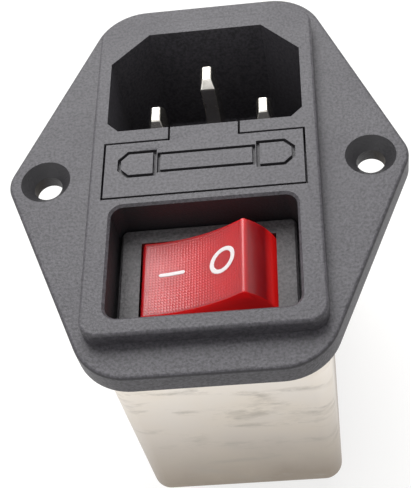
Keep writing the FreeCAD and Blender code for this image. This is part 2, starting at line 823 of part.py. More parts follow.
# Metal can: a drawn shell with a terminal window and a rivet hole in its end
def build_metal_can():
    body = new_body("metal_can")
    half_x, half_y = can_width / 2, can_height / 2
    prism(body, "can_block", "XY_Plane", centred(half_x, half_y), can_back, rim_top)
    fillet(body, "can_corners", can_round, corners_at(half_x, -half_y, half_y))
    base = body.Tip
    mouth = ["Face%d" % number for number, face in enumerate(base.Shape.Faces, 1)
             if close(face.BoundBox.ZMin, value(rim_top))]
    shell = body.newObject("PartDesign::Thickness", "can_shell")
    shell.Base = (base, mouth)
    bind(shell, "Value", can_wall)
    shell.Reversed = True
    shell.Join = 0
    doc.recompute()
    fillet(body, "can_end_edges", can_end_round,
           lambda e, m: all(close(v.Z, value(can_back)) for v in e.Vertexes))
    chamfer(body, "can_floor_edges", can_floor_edge,
            lambda e, m: all(close(v.Z, value(can_floor)) for v in e.Vertexes))
    cavity(body, "terminal_window", "XY_Plane",
           centred(window_width / 2, window_height / 2, window_middle), can_back, can_floor)
    bore(body, "rivet_hole", "XY_Plane", size(0.0), earth_tab_y, rivet_round / 2 + seat_gap,
         can_back, can_floor)
    node(body, "metal_can")


# Inlet pins with four-sided tips
def build_pin(label, x, y, recess):
    body = new_body(label)
    tip = front - recess
    prism(body, label + "_shank", "XY_Plane",
          rectangle(x - pin_thick / 2, x + pin_thick / 2, y - pin_wide / 2, y + pin_wide / 2),
          pin_end, tip - pin_tip_long)
    sections = []
    for name, thick, wide, level in (("root", pin_thick, pin_wide, tip - pin_tip_long),
                                     ("tip", pin_tip_thick, pin_tip_wide, tip)):
        sketch = new_sketch(body, "%s_%s" % (label, name), "XY_Plane", level)
        draw_outline(sketch, rectangle(x - thick / 2, x + thick / 2,
                                       y - wide / 2, y + wide / 2))
        sections.append(sketch)
    loft = body.newObject("PartDesign::AdditiveLoft", label + "_taper")
    loft.Profile = sections[0]
    loft.Sections = sections[1:]
    loft.Ruled = True
    doc.recompute()
    node(body, label)


# Fuse drawer: front plate with a pull, a spare compartment and a fuse saddle
def build_fuse_drawer():
    body = new_body("fuse_drawer")
    plate_back = front - plate_thick
    prism(body, "drawer_plate", "XY_Plane",
          rectangle(-(bay_width / 2 - seam_gap), bay_width / 2 - seam_gap,
                    bay_bottom + seam_gap, bay_top - seam_gap), plate_back, front)
    prism(body, "drawer_pull", "XY_Plane",
          rectangle(-(pull_width / 2 - seam_gap), pull_width / 2 - seam_gap,
                    bay_top - seam_gap, inlet_low - seat_gap), plate_back, front)
    prism(body, "drawer_block", "XY_Plane",
          rectangle(-drawer_half, drawer_half, drawer_bottom, drawer_top),
          drawer_back, plate_back)
    fuse_half = fuse_long / 2 + fuse_play
    cavity(body, "spare_compartment", "XY_Plane",
           rectangle(-fuse_half, fuse_half, drawer_bottom, drawer_top - drawer_roof),
           divider_front, plate_back)
    cavity(body, "fuse_bay", "XY_Plane",
           rectangle(-fuse_half, fuse_half, drawer_bottom, drawer_top),
           drawer_back, divider_back)
    tube_half = fuse_tube_round / 2 + fuse_play / 2
    prism(body, "saddle", "XY_Plane",
          centred(saddle_wide / 2, tube_half + saddle_wall, active_y),
          active_z - saddle_wrap, divider_back)
    bore(body, "saddle_trough", "YZ_Plane", active_y, active_z, tube_half,
         -(saddle_wide / 2), saddle_wide / 2)
    node(body, "fuse_drawer")


# Glass fuses: tube, two end caps and the melting wire
def build_fuse(prefix, y, z):
    cap_wall = (fuse_cap_round - fuse_tube_round) / 2
    half = fuse_long / 2
    outer = rod(prefix + "_glass", "X", fuse_tube_round / 2,
                fuse_long - cap_wall * 2 - seat_gap * 2, -(half - cap_wall - seat_gap), y, z)
    inner = rod(prefix + "_hollow", "X", fuse_tube_round / 2 - fuse_tube_wall,
                fuse_long, -half, y, z)
    node(cut(prefix + "_tube", outer, inner), prefix + "_tube")
    caps = []
    for name, start, cup_start in (("left", -half, -half + cap_wall),
                                   ("right", half - fuse_cap_long, half - fuse_cap_long)):
        shell = rod("%s_%s_shell" % (prefix, name), "X", fuse_cap_round / 2, fuse_cap_long,
                    start, y, z)
        cup = rod("%s_%s_cup" % (prefix, name), "X", fuse_tube_round / 2 + seat_gap,
                  fuse_cap_long - cap_wall, cup_start, y, z)
        caps.append(cut("%s_%s_cap" % (prefix, name), shell, cup))
    node(group(prefix + "_caps", caps), prefix + "_caps")
    wire = rod(prefix + "_wire", "X", fuse_wire_round / 2, fuse_long - cap_wall * 2,
               -(half - cap_wall), y, z)
    node(wire, prefix + "_wire")


# Fuse clips: springy forks that grip the end caps
def build_fuse_clip(label, side):
    body = new_body(label)
    inner = fuse_cap_round / 2 + clip_gap
    outer = inner + clip_thick
    seat = bay_back + seat_gap
    bend = active_z + clip_rise
    tip = bend + clip_flare_rise
    points = [
        (active_y - outer, seat), (active_y + outer, seat), (active_y + outer, bend),
        (active_y + outer + clip_flare, tip), (active_y + inner + clip_flare, tip),
        (active_y + inner, bend), (active_y + inner, seat + clip_thick),
        (active_y - inner, seat + clip_thick), (active_y - inner, bend),
        (active_y - inner - clip_flare, tip), (active_y - outer - clip_flare, tip),
        (active_y - outer, bend)]
    middle = clip_x * side
    prism(body, label + "_fork", "YZ_Plane", points, middle - clip_wide / 2,
          middle + clip_wide / 2)
    prism(body, label + "_tail", "XY_Plane",
          rectangle(middle - clip_tail_wide / 2, middle + clip_tail_wide / 2,
                    active_y - clip_thick / 2, active_y + clip_thick / 2),
          bay_back - clip_tail_long, seat)
    node(body, label)


# Switch frame: bezel, case, pivot holes and snap latches
def build_switch_frame():
    body = new_body("switch_frame")
    prism(body, "bezel", "XY_Plane", centred(bezel_width / 2, bezel_height / 2, recess_middle),
          recess_back, bezel_top)
    fillet(body, "bezel_corners", bezel_round,
           corners_at(bezel_width / 2, recess_middle - bezel_height / 2,
                      recess_middle + bezel_height / 2))
    chamfer(body, "bezel_front_edge", bezel_edge,
            lambda e, m: all(close(v.Z, value(bezel_top)) for v in e.Vertexes))
    prism(body, "case", "XY_Plane", centred(case_long / 2, case_wide / 2, recess_middle),
          case_back, recess_back)
    cavity(body, "rocker_opening", "XY_Plane",
           centred(opening_long / 2, opening_wide / 2, recess_middle),
           recess_back, bezel_top, taper=opening_taper)
    cavity(body, "case_cavity", "XY_Plane",
           centred(case_long / 2 - case_wall, case_wide / 2 - case_side_wall, recess_middle),
           case_back, recess_back)
    bore(body, "pivot_holes", "XZ_Plane", size(0.0), pivot_z, pivot_round / 2 + hinge_gap,
         recess_middle - case_wide / 2, recess_middle + case_wide / 2)
    latch_top = recess_back - recess_floor - seat_gap
    for name, side in (("left", -1.0), ("right", 1.0)):
        wall = case_long / 2 * side
        corner = (case_long / 2 + latch_out) * side
        points = [(wall, latch_top), (wall, latch_top - latch_long), (corner, latch_top)]
        prism(body, name + "_latch", "XZ_Plane", points,
              recess_middle - latch_wide / 2, recess_middle + latch_wide / 2)
    node(body, "switch_frame")


# Switch base: closes the case and holds the three blades
def build_switch_base():
    body = new_body("switch_base")
    prism(body, "base_plate", "XY_Plane",
          centred(case_long / 2 - case_wall - seat_gap,
                  case_wide / 2 - case_side_wall - seat_gap, recess_middle),
          case_back, base_top)
    for name, step in (("left", -1.0), ("middle", 0.0), ("right", 1.0)):
        x = blade_pitch * step
        cavity(body, name + "_blade_slot", "XY_Plane",
               rectangle(x - blade_thick / 2 - seat_gap, x + blade_thick / 2 + seat_gap,
                         recess_middle - blade_wide / 2 - seat_gap,
                         recess_middle + blade_wide / 2 + seat_gap),
               case_back, base_top)
    node(body, "switch_base")


# Switch blades: flat tabs with an eye, a foot or a knife edge on the inside
def build_blade(label, step, footed):
    body = new_body(label)
    x = blade_pitch * step
    end = case_back - blade_long
    prism(body, label + "_tab", "XY_Plane",
          rectangle(x - blade_thick / 2, x + blade_thick / 2,
                    recess_middle - blade_wide / 2, recess_middle + blade_wide / 2),
          end, base_top)
    bore(body, label + "_eye", "YZ_Plane", recess_middle, end + blade_wide / 2,
         blade_eye / 2, x - blade_thick / 2, x + blade_thick / 2)
    if not footed:
        shoulder = fulcrum_z - blade_thick / 2
        knife = knife_round / 2
        points = [(-(blade_thick / 2), base_top), (blade_thick / 2, base_top),
                  (blade_thick / 2, shoulder), (knife, fulcrum_z), (-knife, fulcrum_z),
                  (-(blade_thick / 2), shoulder)]
        low_y, high_y = recess_middle - lever_wide / 2, recess_middle + lever_wide / 2
        prism(body, label + "_fulcrum", "XZ_Plane", points, low_y, high_y)
        disc(body, label + "_knife", "XZ_Plane", size(0.0), fulcrum_z, knife, low_y, high_y)
    else:
        outer = (blade_pitch + blade_thick / 2) * step
        inner = foot_reach * step
        low, high = (outer, inner) if step < 0 else (inner, outer)
        prism(body, label + "_foot", "XY_Plane",
              rectangle(low, high, recess_middle - blade_wide / 2,
                        recess_middle + blade_wide / 2),
              base_top, base_top + contact_thick)
    node(body, label)


def turned(item, angle, z):
    """Stand a piece that is drawn about its pivot at its place and tilt."""
    turn = Rotation(Vector(0, 1, 0), value(angle))
    item.Placement = Placement(Vector(0, value(recess_middle), value(z)), turn)
    bind(item, "Placement.Base.y", recess_middle)
    bind(item, "Placement.Base.z", z)
    bind(item, "Placement.Rotation.Angle", angle)
    return item


# Rocker: a dished, hollow key drawn about its pivot and tilted to its rest
def build_rocker():
    body = new_body("rocker")
    radius = rocker_radius
    ridge_z = (radius * radius - rocker_ridge_x * rocker_ridge_x).root()
    end_x = (radius * radius - rocker_skirt * rocker_skirt).root()
    keel_x = rocker_keel_long / 2
    half_wide = rocker_wide / 2
    points = [(rocker_ridge_x, ridge_z), (-rocker_ridge_x, ridge_z), (-end_x, -rocker_skirt),
              (-keel_x, -rocker_keel), (keel_x, -rocker_keel), (end_x, -rocker_skirt)]
    arcs = {0: (rocker_dish_radius, False), 1: (radius, True), 5: (radius, True)}
    prism(body, "rocker_key", "XZ_Plane", points, -half_wide, half_wide, arcs)
    inside = radius - rocker_wall
    roof_z = ridge_z - rocker_roof_drop
    roof_x = (inside * inside - roof_z * roof_z).root()
    mouth_x = (inside * inside - rocker_skirt * rocker_skirt).root()
    mouth_z = -(rocker_keel + rocker_wall)
    hollow = [(roof_x, roof_z), (-roof_x, roof_z), (-mouth_x, -rocker_skirt),
              (-mouth_x, mouth_z), (mouth_x, mouth_z), (mouth_x, -rocker_skirt)]
    arcs = {0: (rocker_dish_radius + rocker_skin, False), 1: (inside, True), 5: (inside, True)}
    cavity(body, "rocker_hollow", "XZ_Plane", hollow, -(half_wide - rocker_wall),
           half_wide - rocker_wall, arcs)
    disc(body, "rocker_post", "XY_Plane", size(0.0), size(0.0), rocker_post_round / 2,
         -rocker_post_drop, bore_top + rocker_skin)
    bore(body, "rocker_bore", "XY_Plane", size(0.0), size(0.0), plunger_round / 2 + plunger_gap,
         -rocker_post_drop, bore_top)
    disc(body, "near_pivot", "XZ_Plane", size(0.0), size(0.0), pivot_round / 2,
         -(half_wide + pivot_out), -(half_wide - rocker_wall))
    disc(body, "far_pivot", "XZ_Plane", size(0.0), size(0.0), pivot_round / 2,
         half_wide - rocker_wall, half_wide + pivot_out)
    turned(body, -rocker_tilt, pivot_z)
    node(body, "rocker")


def build_plunger():
    lever_top = fulcrum_z + knife_round / 2 + hinge_gap + lever_thick
    tip_z = lever_top + plunger_tip_gap - pivot_z
    radius = plunger_round / 2
    nose = taper("plunger_nose", "Z", plunger_tip_round / 2, radius, plunger_nose_long,
                 size(0.0), size(0.0), tip_z)
    shank = rod("plunger_shank", "Z", radius, plunger_long - plunger_nose_long, size(0.0),
                size(0.0), tip_z + plunger_nose_long)
    plunger = fuse("plunger_body", [nose, shank])
    turned(plunger, -rocker_tilt, pivot_z)
    node(plunger, "plunger")
    path_radius = value(spring_round - spring_wire) / 2
    low = value(tip_z + plunger_long + spring_wire / 2)
    rise = value(bore_top - spring_wire / 2) - low
    steps = int(value(spring_turns) * value(turn_steps))
    path = []
    for step in range(steps + 1):
        angle = 2 * math.pi * step / value(turn_steps)
        path.append(Vector(path_radius * math.cos(angle), path_radius * math.sin(angle),
                           low + rise * step / steps))
    spring = wire_along("plunger_spring", path, spring_wire)
    turned(spring, -rocker_tilt, pivot_z)
    node(spring, "plunger_spring")


# Contact lever: a shallow vee that rocks on the middle blade's knife edge
def build_contact_lever():
    body = new_body("contact_lever")
    slope = ratio("tan", lever_slope)
    bottom = knife_round / 2 + hinge_gap
    left_rise = bottom + lever_left * slope
    right_rise = bottom + lever_right * slope
    points = [(-lever_left, left_rise), (size(0.0), bottom), (lever_right, right_rise),
              (lever_right, right_rise + lever_thick), (size(0.0), bottom + lever_thick),
              (-lever_left, left_rise + lever_thick)]
    prism(body, "lever_vee", "XZ_Plane", points, -(lever_wide / 2), lever_wide / 2)
    turned(body, lever_tilt, fulcrum_z)
    node(body, "contact_lever")
    under_x = contact_reach + contact_thick * ratio("sin", lever_slope)
    under_z = bottom + contact_reach * slope - contact_thick * ratio("cos", lever_slope)
    sine, cosine = ratio("sin", lever_tilt), ratio("cos", lever_tilt)
    button = doc.addObject("Part::Cylinder", "moving_contact")
    bind(button, "Radius", contact_round / 2)
    bind(button, "Height", contact_thick)
    turned(button, lever_tilt - lever_slope, fulcrum_z + under_z * cosine - under_x * sine)
    bind(button, "Placement.Base.x", under_x * cosine + under_z * sine)
    node(button, "moving_contact")


# Indicator lamp and its resistor beside the rocker's works
def build_lamp():
    y, radius = recess_middle, lamp_round / 2
    lamp_z = pivot_z - lamp_drop
    foot_top = base_top + contact_thick
    tube = rod("lamp_tube", "Y", radius, lamp_long - lamp_nose * 2, lamp_x,
               y - lamp_long / 2 + lamp_nose, lamp_z)
    near = taper("lamp_near_end", "Y", lamp_end_round / 2, radius, lamp_nose, lamp_x,
                 y - lamp_long / 2, lamp_z)
    far = taper("lamp_far_end", "Y", radius, lamp_end_round / 2, lamp_nose, lamp_x,
                y + lamp_long / 2 - lamp_nose, lamp_z)
    node(fuse("neon_bulb", [tube, near, far]), "neon_bulb")
    out = y + lamp_long / 2 + lamp_lead_out
    foot_y = y + lever_wide / 2 + thin_wire
    points = [(lamp_x, y + lamp_long / 2, lamp_z), (lamp_x, out, lamp_z),
              (lamp_x, out, lamp_z - lamp_lead_drop),
              (lamp_x, foot_y, lamp_z - lamp_lead_drop - lamp_lead_step),
              (lamp_x, foot_y, foot_top)]
    node(lead("lamp_lead", points, thin_wire, thin_bend), "lamp_lead")
    near_y = y - lamp_long / 2 - lamp_lead_out
    ballast_z = base_top + ballast_rise
    ballast = rod("ballast_body", "X", ballast_round / 2, ballast_long, -(ballast_long / 2),
                  near_y, ballast_z)
    reach = blade_pitch - blade_thick / 2
    foot_near = y - lever_wide / 2 - thin_wire
    lamp_side = lead("ballast_lamp_lead", [
        (lamp_x, y - lamp_long / 2, lamp_z), (lamp_x, near_y, lamp_z),
        (lamp_x, near_y, ballast_z), (-(ballast_long / 2), near_y, ballast_z)],
        thin_wire, thin_bend)
    load_side = lead("ballast_load_lead", [
        (ballast_long / 2, near_y, ballast_z), (reach, near_y, ballast_z),
        (reach, foot_near, ballast_z - ballast_round / 2), (reach, foot_near, foot_top)],
        thin_wire, thin_bend)
    node(fuse("lamp_resistor", [ballast, lamp_side, load_side]), "lamp_resistor")


# Rear terminals: insulator, two mains tabs and the riveted earth tab
def build_terminal_insulator():
    body = new_body("terminal_insulator")
    prism(body, "insulator_lip_plate", "XY_Plane",
          centred(window_width / 2 + insulator_lip, window_height / 2 + insulator_lip,
                  window_middle), can_floor, insulator_top)
    prism(body, "insulator_boss", "XY_Plane",
          centred(window_width / 2 - hinge_gap, window_height / 2 - hinge_gap, window_middle),
          can_back - insulator_out, can_floor)
    for name, side in (("left", -1.0), ("right", 1.0)):
        x = tab_pitch / 2 * side
        cavity(body, name + "_tab_slot", "XY_Plane",
               rectangle(x - tab_wide / 2 - seat_gap, x + tab_wide / 2 + seat_gap,
                         window_middle - tab_thick / 2 - seat_gap,
                         window_middle + tab_thick / 2 + seat_gap),
               can_back - insulator_out, insulator_top)
    node(body, "terminal_insulator")


def tab_outline(x, top):
    """Return the outline of a push-on tab with a tapered nose."""
    half = tab_wide / 2
    return [(x - half + tab_nose, tab_end), (x + half - tab_nose, tab_end),
            (x + half, tab_end + tab_nose), (x + half, top), (x - half, top),
            (x - half, tab_end + tab_nose)]


def build_mains_tab(label, side):
    body = new_body(label)
    x = tab_pitch / 2 * side
    low_y = window_middle - tab_thick / 2
    high_y = window_middle + tab_thick / 2
    prism(body, label + "_blade", "XZ_Plane", tab_outline(x, insulator_top), low_y, high_y)
    prism(body, label + "_tail", "XZ_Plane",
          rectangle(x - tab_tail_wide / 2, x + tab_tail_wide / 2, insulator_top,
                    board_top + tab_tail_proud), low_y, high_y)
    bore(body, label + "_eye", "XZ_Plane", x, tab_end + tab_wide / 2, tab_eye / 2,
         low_y, high_y)
    node(body, label)


def build_earth_terminal():
    body = new_body("earth_tab")
    blade_low = earth_tab_y - earth_foot / 2
    blade_high = blade_low + tab_thick
    prism(body, "earth_blade", "XZ_Plane", tab_outline(size(0.0), can_back),
          blade_low, blade_high)
    prism(body, "earth_foot_plate", "XY_Plane",
          rectangle(-(tab_wide / 2), tab_wide / 2, blade_high, blade_low + earth_foot),
          can_back - tab_thick, can_back)
    bore(body, "earth_foot_hole", "XY_Plane", size(0.0), earth_tab_y,
         rivet_round / 2 + seat_gap, can_back - tab_thick, can_back)
    bore(body, "earth_eye", "XZ_Plane", size(0.0), tab_end + tab_wide / 2, tab_eye / 2,
         blade_low, blade_high)
    node(body, "earth_tab")
    foot_back = can_back - tab_thick
    shank = rod("rivet_shank", "Z", rivet_round / 2, can_floor - foot_back, size(0.0),
                earth_tab_y, foot_back)
    head = rod("rivet_head", "Z", rivet_head_round / 2, rivet_head_thick, size(0.0),
               earth_tab_y, foot_back - rivet_head_thick)
    inner_head = rod("rivet_inner_head", "Z", rivet_head_round / 2, rivet_head_thick,
                     size(0.0), earth_tab_y, can_floor)
    node(fuse("earth_rivet", [shank, head, inner_head]), "earth_rivet")
    strap = new_body("earth_strap")
    start_y = earth_y + pin_wide / 2
    wall_y = can_height / 2 - can_wall
    top_z = pin_end + strap_rise
    points = [(start_y, top_z - strap_thick), (wall_y - strap_thick, top_z - strap_thick),
              (wall_y - strap_thick, top_z - strap_drop), (wall_y, top_z - strap_drop),
              (wall_y, top_z), (start_y, top_z)]
    prism(strap, "earth_strap_bend", "YZ_Plane", points, -(strap_wide / 2), strap_wide / 2)
    node(strap, "earth_strap")


# Mains filter on its board
def build_filter_board():
    body = new_body("filter_board")
    half_x = can_width / 2 - can_wall - board_margin
    half_y = can_height / 2 - can_wall - board_margin
    prism(body, "board_plate", "XY_Plane", centred(half_x, half_y), board_bottom, board_top)
    fillet(body, "board_corners", skirt_round, corners_at(half_x, -half_y, half_y))
    for name, side in (("left", -1.0), ("right", 1.0)):
        x = tab_pitch / 2 * side
        cavity(body, name + "_tail_slot", "XY_Plane",
               rectangle(x - tab_tail_wide / 2 - seat_gap, x + tab_tail_wide / 2 + seat_gap,
                         window_middle - tab_thick / 2 - seat_gap,
                         window_middle + tab_thick / 2 + seat_gap),
               board_bottom, board_top)
    node(body, "filter_board")


def build_choke():
    core_low = board_top + winding_wire + hinge_gap
    outer = rod("choke_outside", "Z", choke_outer / 2, choke_tall, size(0.0), choke_y, core_low)
    inner = rod("choke_inside", "Z", choke_inner / 2, choke_tall, size(0.0), choke_y, core_low)
    node(cut("choke_ring", outer, inner), "choke_core")
    inner_radius = value(choke_inner - winding_wire) / 2 - value(hinge_gap)
    outer_radius = value(choke_outer + winding_wire) / 2 + value(hinge_gap)
    low = value(core_low - winding_wire / 2 - hinge_gap)
    high = value(core_low + choke_tall + winding_wire / 2 + hinge_gap)
    turns = int(value(winding_turns))
    step = value(winding_span) / turns
    for label, middle in (("choke_winding_line", 180.0), ("choke_winding_neutral", 0.0)):
        places = []
        for turn in range(turns):
            start = middle - value(winding_span) / 2 + turn * step
            for angle, radius, level in ((start, inner_radius, low), (start, inner_radius, high),
                                         (start + step / 2, outer_radius, high),
                                         (start + step / 2, outer_radius, low)):
                places.append(Vector(radius * math.cos(math.radians(angle)),
                                     value(choke_y) + radius * math.sin(math.radians(angle)),
                                     level))
        node(wire_along(label, places, winding_wire), label)


def build_capacitors():
    x_cap = new_body("x_capacitor")
    prism(x_cap, "x_cap_case", "XY_Plane", centred(x_cap_long / 2, x_cap_wide / 2, x_cap_y),
          board_top, board_top + x_cap_tall)
    chamfer(x_cap, "x_cap_edges", flange_edge_round,
            lambda e, m: m.z > value(board_top) + 0.1)
    node(x_cap, "x_capacitor")
    centre_z = board_top + y_cap_stand + y_cap_round / 2
    for label, side in (("y_capacitor_line", -1.0), ("y_capacitor_neutral", 1.0)):
        x = y_cap_x * side
        parts = [rod(label + "_disc", "Y", y_cap_round / 2, y_cap_thick, x,
                     y_cap_y - y_cap_thick / 2, centre_z)]
        for name, step in (("near", -0.5), ("far", 0.5)):
            parts.append(rod("%s_%s_lead" % (label, name), "Z", y_cap_wire / 2,
                             centre_z - board_top, x + y_cap_pitch * step, y_cap_y, board_top))
        node(fuse(label + "_body", parts), label)


def build_bleeder():
    z = board_top + bleeder_stand + bleeder_round / 2
    half = bleeder_long / 2
    barrel = rod("bleeder_barrel", "X", bleeder_round / 2, bleeder_long, -half, bleeder_y, z)
    parts = [barrel]
    for name, side in (("left", -1.0), ("right", 1.0)):
        parts.append(lead("bleeder_%s_lead" % name, [
            (half * side, bleeder_y, z), ((half + bleeder_lead_out) * side, bleeder_y, z),
            ((half + bleeder_lead_out) * side, bleeder_y, board_top)], bleeder_wire, thin_bend))
    node(fuse("bleeder", parts), "bleeder_resistor")


# Insulated leads between the pins, the clips, the switch and the board
def build_leads():
    line_x = -(pin_pitch / 2)
    clip_end = bay_back - clip_tail_long
    blade_end = case_back - blade_long
    low = pin_end - lead_drop
    node(lead("line_lead", [
        (line_x, pin_y, pin_end), (line_x, pin_y, low), (-clip_x, active_y, low),
        (-clip_x, active_y, clip_end)], lead_wire, lead_bend), "line_lead")
    node(lead("fused_lead", [
        (clip_x, active_y, clip_end), (clip_x, active_y, low),
        (clip_x, (active_y + recess_middle) / 2, low),
        (size(0.0), recess_middle, blade_end - lead_drop),
        (size(0.0), recess_middle, blade_end)], lead_wire, lead_bend), "fused_lead")
    for label, side in (("switched_lead", 1.0), ("lamp_return_lead", -1.0)):
        x = blade_pitch * side
        outer = (blade_pitch + lead_wire) * side
        node(lead(label, [
            (x, recess_middle, blade_end), (x, recess_middle, blade_end - lead_drop),
            (outer, recess_middle, blade_end - lead_drop * 2),
            (outer, recess_middle, board_top)], lead_wire, lead_bend), label)
    side_x = can_width / 2 - can_wall - lead_wire / 2 - lead_clear
    node(lead("neutral_lead", [
        (pin_pitch / 2, pin_y, pin_end), (pin_pitch / 2, pin_y, low),
        (side_x, pin_y, low - lead_drop), (side_x, pin_y, board_top)],
        lead_wire, lead_bend), "neutral_lead")


build_front_housing()
build_metal_can()
build_pin("line_pin", -(pin_pitch / 2), pin_y, pin_recess)
build_pin("neutral_pin", pin_pitch / 2, pin_y, pin_recess)
build_pin("earth_pin", size(0.0), earth_y, earth_recess)
build_fuse_drawer()
build_fuse("active_fuse", active_y, active_z)
build_fuse("spare_fuse", spare_y, spare_z)
build_fuse_clip("line_fuse_clip", -1.0)
build_fuse_clip("load_fuse_clip", 1.0)
build_switch_frame()
build_switch_base()
build_blade("common_blade", 0.0, False)
build_blade("load_blade", 1.0, True)
build_blade("lamp_blade", -1.0, True)
build_rocker()
build_plunger()
build_contact_lever()
fixed_contact = rod("fixed_contact", "Z", contact_round / 2, contact_thick, contact_reach,
                    recess_middle, base_top + contact_thick)
node(fixed_contact, "fixed_contact")
build_lamp()
build_terminal_insulator()
build_mains_tab("line_tab", -1.0)
build_mains_tab("neutral_tab", 1.0)
build_earth_terminal()
build_filter_board()
build_choke()
build_capacitors()
build_bleeder()
build_leads()
doc.recompute()

for item in doc.Objects:
    if "Invalid" in item.State or "Error" in item.State:
        raise RuntimeError("%s failed: %s" % (item.Label, item.State))
os.makedirs("parts", exist_ok=True)
for item in nodes:
    if item.Shape.isNull() or not item.Shape.isValid():
        raise RuntimeError("%s has no valid shape" % item.Label)
for item in nodes:
    item.Shape.exportStep("parts/%s.step" % item.Label)
    print("%-24s %10.3f mm3 %2d solid" % (item.Label, item.Shape.Volume, len(item.Shape.Solids)))
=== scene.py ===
"""Looks for a filtered power entry module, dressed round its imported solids.

The solids keep their shapes. This file gives each one its finish, softens the
moulded edges, sinks the fuse sign into the drawer's face, builds the rocker with
its lens cells and marks, and sets the light and the camera.
"""

import logging
import math
from dataclasses import dataclass, field
from enum import Enum
from typing import Callable, Sequence

import bmesh
import bpy
from mathutils import Euler, Matrix, Vector


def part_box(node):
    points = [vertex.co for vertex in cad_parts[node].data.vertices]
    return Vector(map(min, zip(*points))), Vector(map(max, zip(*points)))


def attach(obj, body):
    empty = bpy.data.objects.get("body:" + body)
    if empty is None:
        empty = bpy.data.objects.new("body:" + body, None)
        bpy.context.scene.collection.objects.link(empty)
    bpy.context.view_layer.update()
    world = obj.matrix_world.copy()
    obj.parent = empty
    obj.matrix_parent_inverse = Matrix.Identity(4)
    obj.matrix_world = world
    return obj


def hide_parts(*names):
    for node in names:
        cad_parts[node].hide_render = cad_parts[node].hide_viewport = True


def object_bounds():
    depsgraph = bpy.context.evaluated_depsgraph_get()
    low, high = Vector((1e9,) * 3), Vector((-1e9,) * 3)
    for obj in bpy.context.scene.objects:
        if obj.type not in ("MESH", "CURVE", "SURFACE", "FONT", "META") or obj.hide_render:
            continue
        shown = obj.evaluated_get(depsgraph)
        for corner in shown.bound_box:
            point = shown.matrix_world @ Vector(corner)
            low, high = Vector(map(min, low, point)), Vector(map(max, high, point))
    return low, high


log = logging.getLogger("power_entry_module")

MM = 0.001
PHOTO_WIDTH = 411
PHOTO_HEIGHT = 488
SHARP_ANGLE = math.radians(30)
FLAT_ANGLE = math.radians(0.4)
MERGE_GAP = 0.001 * MM
WHITE = (1.0, 1.0, 1.0, 1.0)

# The face attribute that tells a moulding's material how much painted shade a face gets
PAINTED_SHADE_ATTRIBUTE = "painted_shade"

Point = tuple[float, float]
Span = tuple[float, float]
Corner = tuple[float, float, float]
Area = tuple[float, float, float, float]
Colour = tuple[float, float, float, float]
Inputs = dict[object, object]
Socket = bpy.types.NodeSocket
Tree = bpy.types.NodeTree

# Parts of a noise's range: nearly all its values, the middle ones, the high ones
WIDE: Span = (0.3, 0.7)
MIDDLE: Span = (0.35, 0.65)
HIGH: Span = (0.4, 0.75)
RISING: Span = (0.0, 1.0)
FALLING: Span = (1.0, 0.0)

# Draws a noise out into lines along X
ALONG_X: Corner = (0.1, 1.0, 1.0)


def linear(code: str) -> Colour:
    """Turn an sRGB hex code into linear colour.

    Args:
        code: Six hex digits.

    Returns:
        Linear red, green and blue, and 1 for alpha.
    """
    parts = [int(code[index:index + 2], 16) / 255 for index in (0, 2, 4)]
    parts = [p / 12.92 if p <= 0.04045 else ((p + 0.055) / 1.055) ** 2.4 for p in parts]
    return (parts[0], parts[1], parts[2], 1.0)


def scaled(colour: Colour, factor: float) -> Colour:
    """Make a colour lighter or darker.

    Args:
        colour: Linear colour.
        factor: What its parts are multiplied by.

    Returns:
        The new colour, no part over 1.
    """
    return tuple(min(1.0, part * factor) for part in colour[:3]) + (1.0,)


def add_node(tree: Tree, kind: str, settings: dict[str, object] | None = None,
             inputs: Inputs | None = None) -> bpy.types.Node:
    """Add a node, set its fields and fill or link its inputs.

    Args:
        tree: The node tree.
        kind: The node's type name.
        settings: Fields of the node itself.
        inputs: Values, or output sockets to link, by input name or number.

    Returns:
        The new node.
    """
    made = tree.nodes.new(kind)
    for name, value in (settings or {}).items():
        setattr(made, name, value)
    for name, value in (inputs or {}).items():
        if isinstance(value, bpy.types.NodeSocket):
            tree.links.new(value, made.inputs[name])
        else:
            made.inputs[name].default_value = value
    return made


def arithmetic(tree: Tree, operation: str, first: object, second: object = 0.0,
               third: object = 0.0) -> Socket:
    """Do one sum in a shader or geometry tree.

    Args:
        tree: The node tree.
        operation: The Math node's operation.
        first: The first value or socket.
        second: The second value or socket.
        third: The third value or socket.

    Returns:
        The result.
    """
    return add_node(tree, "ShaderNodeMath", {"operation": operation},
                    {0: first, 1: second, 2: third}).outputs[0]


def ramp(tree: Tree, value: Socket, span: Span, result: Span = RISING) -> Socket:
    """Map a value from one range to another, held at the ends.

    Args:
        tree: The node tree.
        value: The socket to map.
        span: Where the output starts to change and where it stops.
        result: The output at these two ends.

    Returns:
        The mapped socket.
    """
    node = add_node(tree, "ShaderNodeMapRange", {"clamp": True}, {
        "Value": value, "From Min": span[0], "From Max": span[1],
        "To Min": result[0], "To Max": result[1]})
    return node.outputs["Result"]


def ramp_mm(tree: Tree, value: Socket, span: Span, result: Span = RISING) -> Socket:
    """Map a length in metres, as ramp does, over a span in millimetres.

    Args:
        tree: The node tree.
        value: The length.
        span: Where the output starts to change and where it stops, in mm.
        result: The output at these two ends.

    Returns:
        The mapped socket.
    """
    return ramp(tree, value, (span[0] * MM, span[1] * MM), result)


def around(middle: float, swing: float) -> Span:
    """Give the range that lies evenly about a middle value.

    Args:
        middle: The middle value.
        swing: How far the range reaches on each side.

    Returns:
        Its two ends.
    """
    return (middle - swing, middle + swing)


def blended(tree: Tree, factor: object, first: object, second: object) -> Socket:
    """Mix two colours by a factor.

    Args:
        tree: The node tree.
        factor: 0 gives the first colour and 1 the second.
        first: A colour or a colour socket.
        second: A colour or a colour socket.

    Returns:
        The mixed colour.
    """
    node = add_node(tree, "ShaderNodeMix", {"data_type": "RGBA"}, {0: factor, 6: first, 7: second})
    return node.outputs[2]


